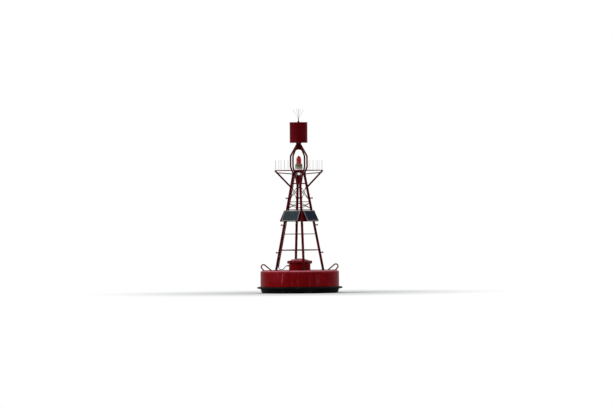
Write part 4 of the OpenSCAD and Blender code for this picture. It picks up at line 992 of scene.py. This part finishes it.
# Screws through the brackets' feet into the skirt
for face in SKIRT_FACES:
    for y in (-BRACKET_Y, BRACKET_Y):
        for side in (-1, 1):
            for up in BRACKET_SCREW_HEIGHTS:
                spot = face @ Vector((BRACKET_T, y + side * BRACKET_SCREW_Y, up))
                screw_head(heads, face.to_3x3() @ Vector((1, 0, 0)), spot, 0.009)
bracket_screws = solid("bracket_screws", heads, steel)
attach(bracket_screws, "buoy")

# Beads along the skirt's four folded corners, and where the arms meet legs
bm = bmesh.new()
for bearing in LEG_BEARINGS:
    out, flank = bearing_line(bearing), bearing_line(bearing + 90)
    low, top = (out * radius + UP * z for radius, z in SKIRT_SEAM)
    straight_bead(bm, low, top, 41, out, 0.0030)
    for z in ARM_HEIGHTS:
        inner = leg_point(bearing, z) + out * (LEG_TUBE_R + 0.0005) + UP * ARM_HALF
        for side in (-1, 1):
            straight_bead(bm, inner, inner + flank * (side * ARM_BEAD), 24, out + UP, 0.0032)
skirt_seams = solid("skirt_seams", bm, skirt_paint)
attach(skirt_seams, "buoy")

# Guard and head
# A square rail of bent tube guards the lantern, on struts off the legs and
# ties off the head plate. Stiff wires along it keep gulls from perching.
RAIL_Z, GUARD_TUBE = 3.737, 0.0135
STRUT_FOOT_Z, STRUT_TUBE, STRUT_HEAD = 3.222, 0.027, (0.7296, 3.7232)
TIE_FOOT, TIE_END, TIE_TUBE = (0.196, 3.630), (0.6773, 3.669), 0.015
TIE_CLIMB, TIE_BEAD_RISE = (0.020, 0.0015), 0.0143
LUG_IN, LUG_OUT, LUG_SIDE = 0.176, 0.216, 0.005
WIRES_A_SIDE, WIRE_REACH, WIRE_OUT, WIRE_R = 7, 0.486, 0.5282, 0.0026
bm = bmesh.new()
for bearing in LEG_BEARINGS:
    out, flank = bearing_line(bearing), bearing_line(bearing + 90)
    foot, head = leg_point(bearing, STRUT_FOOT_Z), out * STRUT_HEAD[0] + UP * STRUT_HEAD[1]
    middle, along = (foot + head) / 2, (head - foot).normalized()
    joint_bead(bm, middle, -along, STRUT_TUBE, leg_tube(bearing), 0.0034, 26)
    tie_in, tie_out = out * TIE_FOOT[0] + UP * TIE_FOOT[1], out * TIE_END[0] + UP * TIE_END[1]
    joint_bead(bm, tie_in.lerp(tie_out, 0.5), tie_out - tie_in, TIE_TUBE,
               to_tube(foot, along, STRUT_TUBE), 0.0026, 20, 0.005)
    for side in (-1, 1):
        beside = flank * (side * LUG_SIDE)
        on_plate = beside + UP * (HEAD_TOP + 0.0002)
        straight_bead(bm, out * LUG_IN + on_plate, out * LUG_OUT + on_plate, 9,
                      (flank * side + UP).normalized(), 0.0030)
        for rise in (-1, 1):
            start = tie_in + beside + UP * (rise * TIE_BEAD_RISE)
            straight_bead(bm, start, start + out * TIE_CLIMB[0] + UP * TIE_CLIMB[1], 6,
                          (flank * side + UP * rise).normalized(), 0.0024)
for bearing in FACE_BEARINGS:
    out, flank = bearing_line(bearing), bearing_line(bearing + 90)
    for k in range(WIRES_A_SIDE):
        y = WIRE_REACH * (2 * k / (WIRES_A_SIDE - 1) - 1)
        spot = out * WIRE_OUT + flank * y + UP * (RAIL_Z + GUARD_TUBE)
        joint_bead(bm, spot + UP * 0.05, -UP, WIRE_R, to_plane(spot), 0.0018, 12, 0.003)
guard_seams = solid("guard_seams", bm, tower_paint)
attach(guard_seams, "buoy")

wire = aged(
    "drawn_steel_wire", (0.055, 0.052, 0.050, 1), (0.045, 0.026, 0.016, 1),
    patch=(26, 5, 0.50, 0.68, 0.65), roughness=(0.32, 0.62), Metallic=0.6, Specular_IOR_Level=0.2)
dress(wire, "guard_wires", "topmark_spigot")

# Lantern
# A moulded marine lantern bolted to a small table: pale base, olive battery
# body in two halves, and a clear red ribbed lens over stacked light boards.
TABLE_TOP, TABLE_STUD_R = 3.735, 0.115
BASE_SCREWS, BASE_SCREW_R, BASE_FLANGE_TOP = 8, 0.1163, 3.7513
BODY_Z, LENS_Z = 3.7896, 3.9399
LENS_SCREWS, LENS_SCREW_R, LENS_LEDGE = 6, 0.0792, 0.0102
LENS_WALL, LENS_RIBS, RIB_PITCH, RIB_DEEP, RIB_FOOT = 0.008, 15, 0.0088, 0.0022, 0.016
LENS_FOOT = ((0.082, 0), (0.082, 0.008), (0.0805, 0.010), (0.0765, 0.0105), (0.0755, 0.014))
LENS_CAP = ((0.0752, 0.150), (0.0735, 0.162), (0.0692, 0.175), (0.0620, 0.188), (0.0520, 0.202),
            (0.0405, 0.216), (0.0285, 0.229), (0.0165, 0.240), (0.0070, 0.2475), (0, 0.249))
BOARDS, BOARD_FOOT, BOARD_PITCH, BOARD_R, CHIPS = 5, 0.014, 0.026, 0.0402, 12
CHIP = ((0, 0), (0.0042, 0), (0.0042, 0.0016), (0.0030, 0.0030), (0.0014, 0.0038), (0, 0.0040))
table_paint = painted(
    "table_dark_paint", 0.015, Paint=(0.042, 0.0012, 0.0022, 1), Faded=(0.090, 0.018, 0.024, 1),
    Salt=(0.20, 0.12, 0.12, 1), Fading=0.6, Bleach=0.0, Runs=0.30, Chips=0.6, Edges=0.6,
    Shine=0.4)[0]
dress(table_paint, "lantern_table")

# Shared by the lantern's mouldings: sun-bleached patches, grime that gathers
# low down, and the fine texture of the mould.
moulded, given, gives = node_group("moulded_shell", {
    "Shell": (0.2, 0.2, 0.2, 1), "Bleached": (0.4, 0.4, 0.4, 1), "Grime": (0.05, 0.045, 0.04, 1),
    "Bleach": 0.5, "Dirt": 0.4, "Low": 3.7, "High": 3.9},
    {"Color": "Color", "Roughness": "Float", "Height": "Float"})
place = add("TexCoord", tree=moulded).outputs["Object"]
pale = times(patches(place, 9, 5, 0.40, 0.66), given["Bleach"])
low_down = add("MapRange", {"Value": z_of(place), "From Min": given["Low"],
                            "From Max": given["High"], "To Min": 1.0, "To Max": 0.25})
dirt = times(patches(place, 48, 5, 0.46, 0.68, 0.6, stretch=(1, 1, 0.12)),
             low_down.outputs[0], given["Dirt"])
shell = mix(pale, given["Shell"], given["Bleached"])
feed(gives, Color=mix(dirt, shell, given["Grime"]), Height=cloud(place, 520, 2),
     Roughness=plus(times(pale, 0.2), times(dirt, 0.3), 0.34))


def moulding(name, level, **look):
    """A moulded plastic shell. Returns it, its shader, its place and its colour."""
    material, shader, place = finish(name, Specular_IOR_Level=level)
    made = place_group(material.node_tree, moulded, **look)
    feed(shader, Base_Color=made["Color"], Roughness=made["Roughness"])
    bump(shader, made["Height"], 0.2, 0.0005)
    return material, shader, place, made["Color"]


pale_shell = moulding(
    "lantern_pale_shell", 0.4, Shell=(0.88, 0.74, 0.72, 1), Bleached=(0.90, 0.85, 0.83, 1),
    Dirt=0.2, Low=3.735, High=3.80)[0]
# The body: a grey foot, an olive shell, a dark clamped joint and a brown shoulder.
# A band starts to take at the first height, and is full at the second.
BANDS = ((3.820, 3.808, 0.8, (0.46, 0.44, 0.41, 1)), (3.856, 3.868, 0.8, (0.050, 0.040, 0.016, 1)),
         (3.900, 3.908, 0.85, (0.185, 0.130, 0.070, 1)))
olive_shell, shader, place, tone = moulding(
    "lantern_olive_shell", 0.3, Shell=(0.210, 0.215, 0.120, 1), Bleached=(0.33, 0.34, 0.22, 1),
    Dirt=0.35, Low=3.79, High=3.95)
height = z_of(place)
for start, full, strength, colour in BANDS:
    tone = mix(span(height, start, full, 0, strength), tone, colour)
feed(shader, Base_Color=tone)
dress(pale_shell, "lantern_base")
dress(olive_shell, "lantern_body")

# The lens: a drum ring of ribs, and over it a pointed cap with a slight bulge
lens_glass = aged(
    "lens_red_clear", (0.56, 0.0016, 0.0026, 1), (0.46, 0.0050, 0.0070, 1),
    patch=(22, 6, 0.42, 0.72, 0.6), roughness=(0.05, 0.22), Transmission_Weight=0.45, IOR=1.49,
    Specular_IOR_Level=0.15)
inside = [(0.067, 0)] + [(max(r - LENS_WALL, 0), z - LENS_WALL * 0.6) for r, z in LENS_CAP[:-2]]
outline = [(0, 0.2400)] + inside[::-1] + list(LENS_FOOT)
for k in range(LENS_RIBS):
    low = RIB_FOOT + RIB_PITCH * k
    outline += [(0.0760 - RIB_DEEP, low), (0.0758, low + RIB_PITCH * 0.25),
                (0.0760, low + RIB_PITCH * 0.5), (0.0758, low + RIB_PITCH * 0.75)]
outline += [(0.0738, RIB_FOOT + RIB_PITCH * LENS_RIBS)] + list(LENS_CAP)
bm = bmesh.new()
turned(bm, outline, 56, Matrix.Translation((0, 0, LENS_Z)))
lens_ribs = solid("lens_ribbed", bm, lens_glass)
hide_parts("lantern_lens")
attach(lens_ribs, "buoy")

# Light boards: black lacquer, with emitter chips round every rim
board, shader, place = finish("board_lacquer", Specular_IOR_Level=0.45, Roughness=0.35)
solder = add("TexVoronoi", {"Vector": place, "Scale": 210.0}).outputs["Distance"]
feed(shader, Base_Color=mix(span(solder, 0.22, 0.16), (0.060, 0.060, 0.056, 1),
                            (0.020, 0.020, 0.020, 1)))
bump(shader, solder, 0.2, 0.0004)
dress(board, "lamp_stack")
chip, shader, place = finish("emitter_chips", Specular_IOR_Level=0.5, Roughness=0.2)
feed(shader, Base_Color=mix(cloud(place, 160, 2), (0.80, 0.62, 0.16, 1), (0.90, 0.78, 0.30, 1)))
bm = bmesh.new()
for k in range(BOARDS):
    z = LENS_Z + BOARD_FOOT + BOARD_PITCH * k
    for n in range(CHIPS):
        out = bearing_line(360 / CHIPS * (n + 0.5 * (k % 2)))
        turned(bm, CHIP, 8, turn_to(out, out * BOARD_R + UP * z))
chips = solid("lamp_chips", bm, chip)
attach(chips, "buoy")

# Rubber rings in the joints below and above the body
bm = bmesh.new()
turned(bm, [(0.104, -0.0010), (0.1128, -0.0010), (0.1140, 0.0002), (0.1128, 0.0014),
            (0.104, 0.0014)], 64, Matrix.Translation((0, 0, BODY_Z - 0.0003)), closed=True)
turned(bm, [(0.078, -0.0016), (0.0840, -0.0016), (0.0850, 0), (0.0840, 0.0016),
            (0.078, 0.0016)], 64, Matrix.Translation((0, 0, LENS_Z - 0.0002)), closed=True)
seals = solid("lantern_seals", bm, gasket)
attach(seals, "buoy")

bm = bmesh.new()
for k in range(BASE_SCREWS):
    spot = bearing_line(360 / BASE_SCREWS * (k + 0.5)) * BASE_SCREW_R + UP * BASE_FLANGE_TOP
    screw_head(bm, UP, spot, 0.0075)
for k in range(LENS_SCREWS):
    spot = bearing_line(360 / LENS_SCREWS * k) * LENS_SCREW_R + UP * (LENS_Z + LENS_LEDGE)
    screw_head(bm, UP, spot, 0.0036, washer=False)
for bearing in FACE_BEARINGS:
    stud = bearing_line(bearing) * TABLE_STUD_R
    for z, way in ((HEAD_TOP, UP), (TABLE_TOP - 0.010, -UP), (HEAD_FOOT, -UP)):
        screw_head(bm, way, stud + UP * z, 0.027)
screws = solid("lantern_screws", bm, steel)
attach(screws, "buoy")

# Cage and topmark
# Four bent tubes bow out round the lantern and meet under a gusseted crown
# plate, on which the closed can of rolled sheet is bolted. Wires crown it.
CAGE_FOOT_R, CAGE_TUBE = 0.190, 0.0255
CROWN_R, CROWN_FOOT, CROWN_BOLT_R = 0.080, 4.5657, 0.066
CAN_Z, CAN_TOP, CAN_R = 4.578, 5.206, 0.274
CAN_WALL, CAN_RIM = 0.006, 0.012
CAN_SEAM, CAN_SEAM_FOOT, CAN_SEAM_LONG = 75, 0.014, 0.600
BOSS_R = 0.031
can_paint = painted(
    "can_red_paint", 0.015, Paint=(0.086, 0.0011, 0.0034, 1), Faded=(0.130, 0.0050, 0.0110, 1),
    Fading=0.30, Bleach=0.2, Runs=0.25, Chips=0.4, Edges=0.4, Shine=0.34)[0]
dress(can_paint, "topmark_can")
bm = bmesh.new()
for bearing in FACE_BEARINGS:
    foot = bearing_line(bearing) * CAGE_FOOT_R + UP * (HEAD_TOP + 0.15)
    joint_bead(bm, foot, -UP, CAGE_TUBE, to_plane(UP * HEAD_TOP), 0.0036, 26, 0.006)
bead(bm, hoop(CROWN_R, CROWN_FOOT, 0.010, -1), 0.0028, pitch=0.006)
cage_seams = solid("cage_seams", bm, tower_paint)
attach(cage_seams, "buoy")

bm = bmesh.new()
for z, lean in ((CAN_Z + CAN_RIM, 0.4), (CAN_TOP - CAN_RIM, -0.4)):
    bead(bm, hoop(CAN_R - CAN_WALL, z, 0.012, lean), 0.0028)
seam_out = bearing_line(CAN_SEAM)
seam_foot = seam_out * (CAN_R - CAN_WALL) + UP * (CAN_Z + CAN_SEAM_FOOT)
straight_bead(bm, seam_foot, seam_foot + UP * CAN_SEAM_LONG, 61, seam_out, 0.0030)
bead(bm, hoop(BOSS_R, CAN_TOP, 0.008, 1.0), 0.0034, pitch=0.006)
can_seams = solid("can_seams", bm, can_paint)
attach(can_seams, "buoy")

bm = bmesh.new()
for bearing in LEG_BEARINGS:
    spot = bearing_line(bearing) * CROWN_BOLT_R + UP * CROWN_FOOT
    screw_head(bm, -UP, spot, 0.019)
crown_bolts = solid("crown_bolts", bm, steel)
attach(crown_bolts, "buoy")
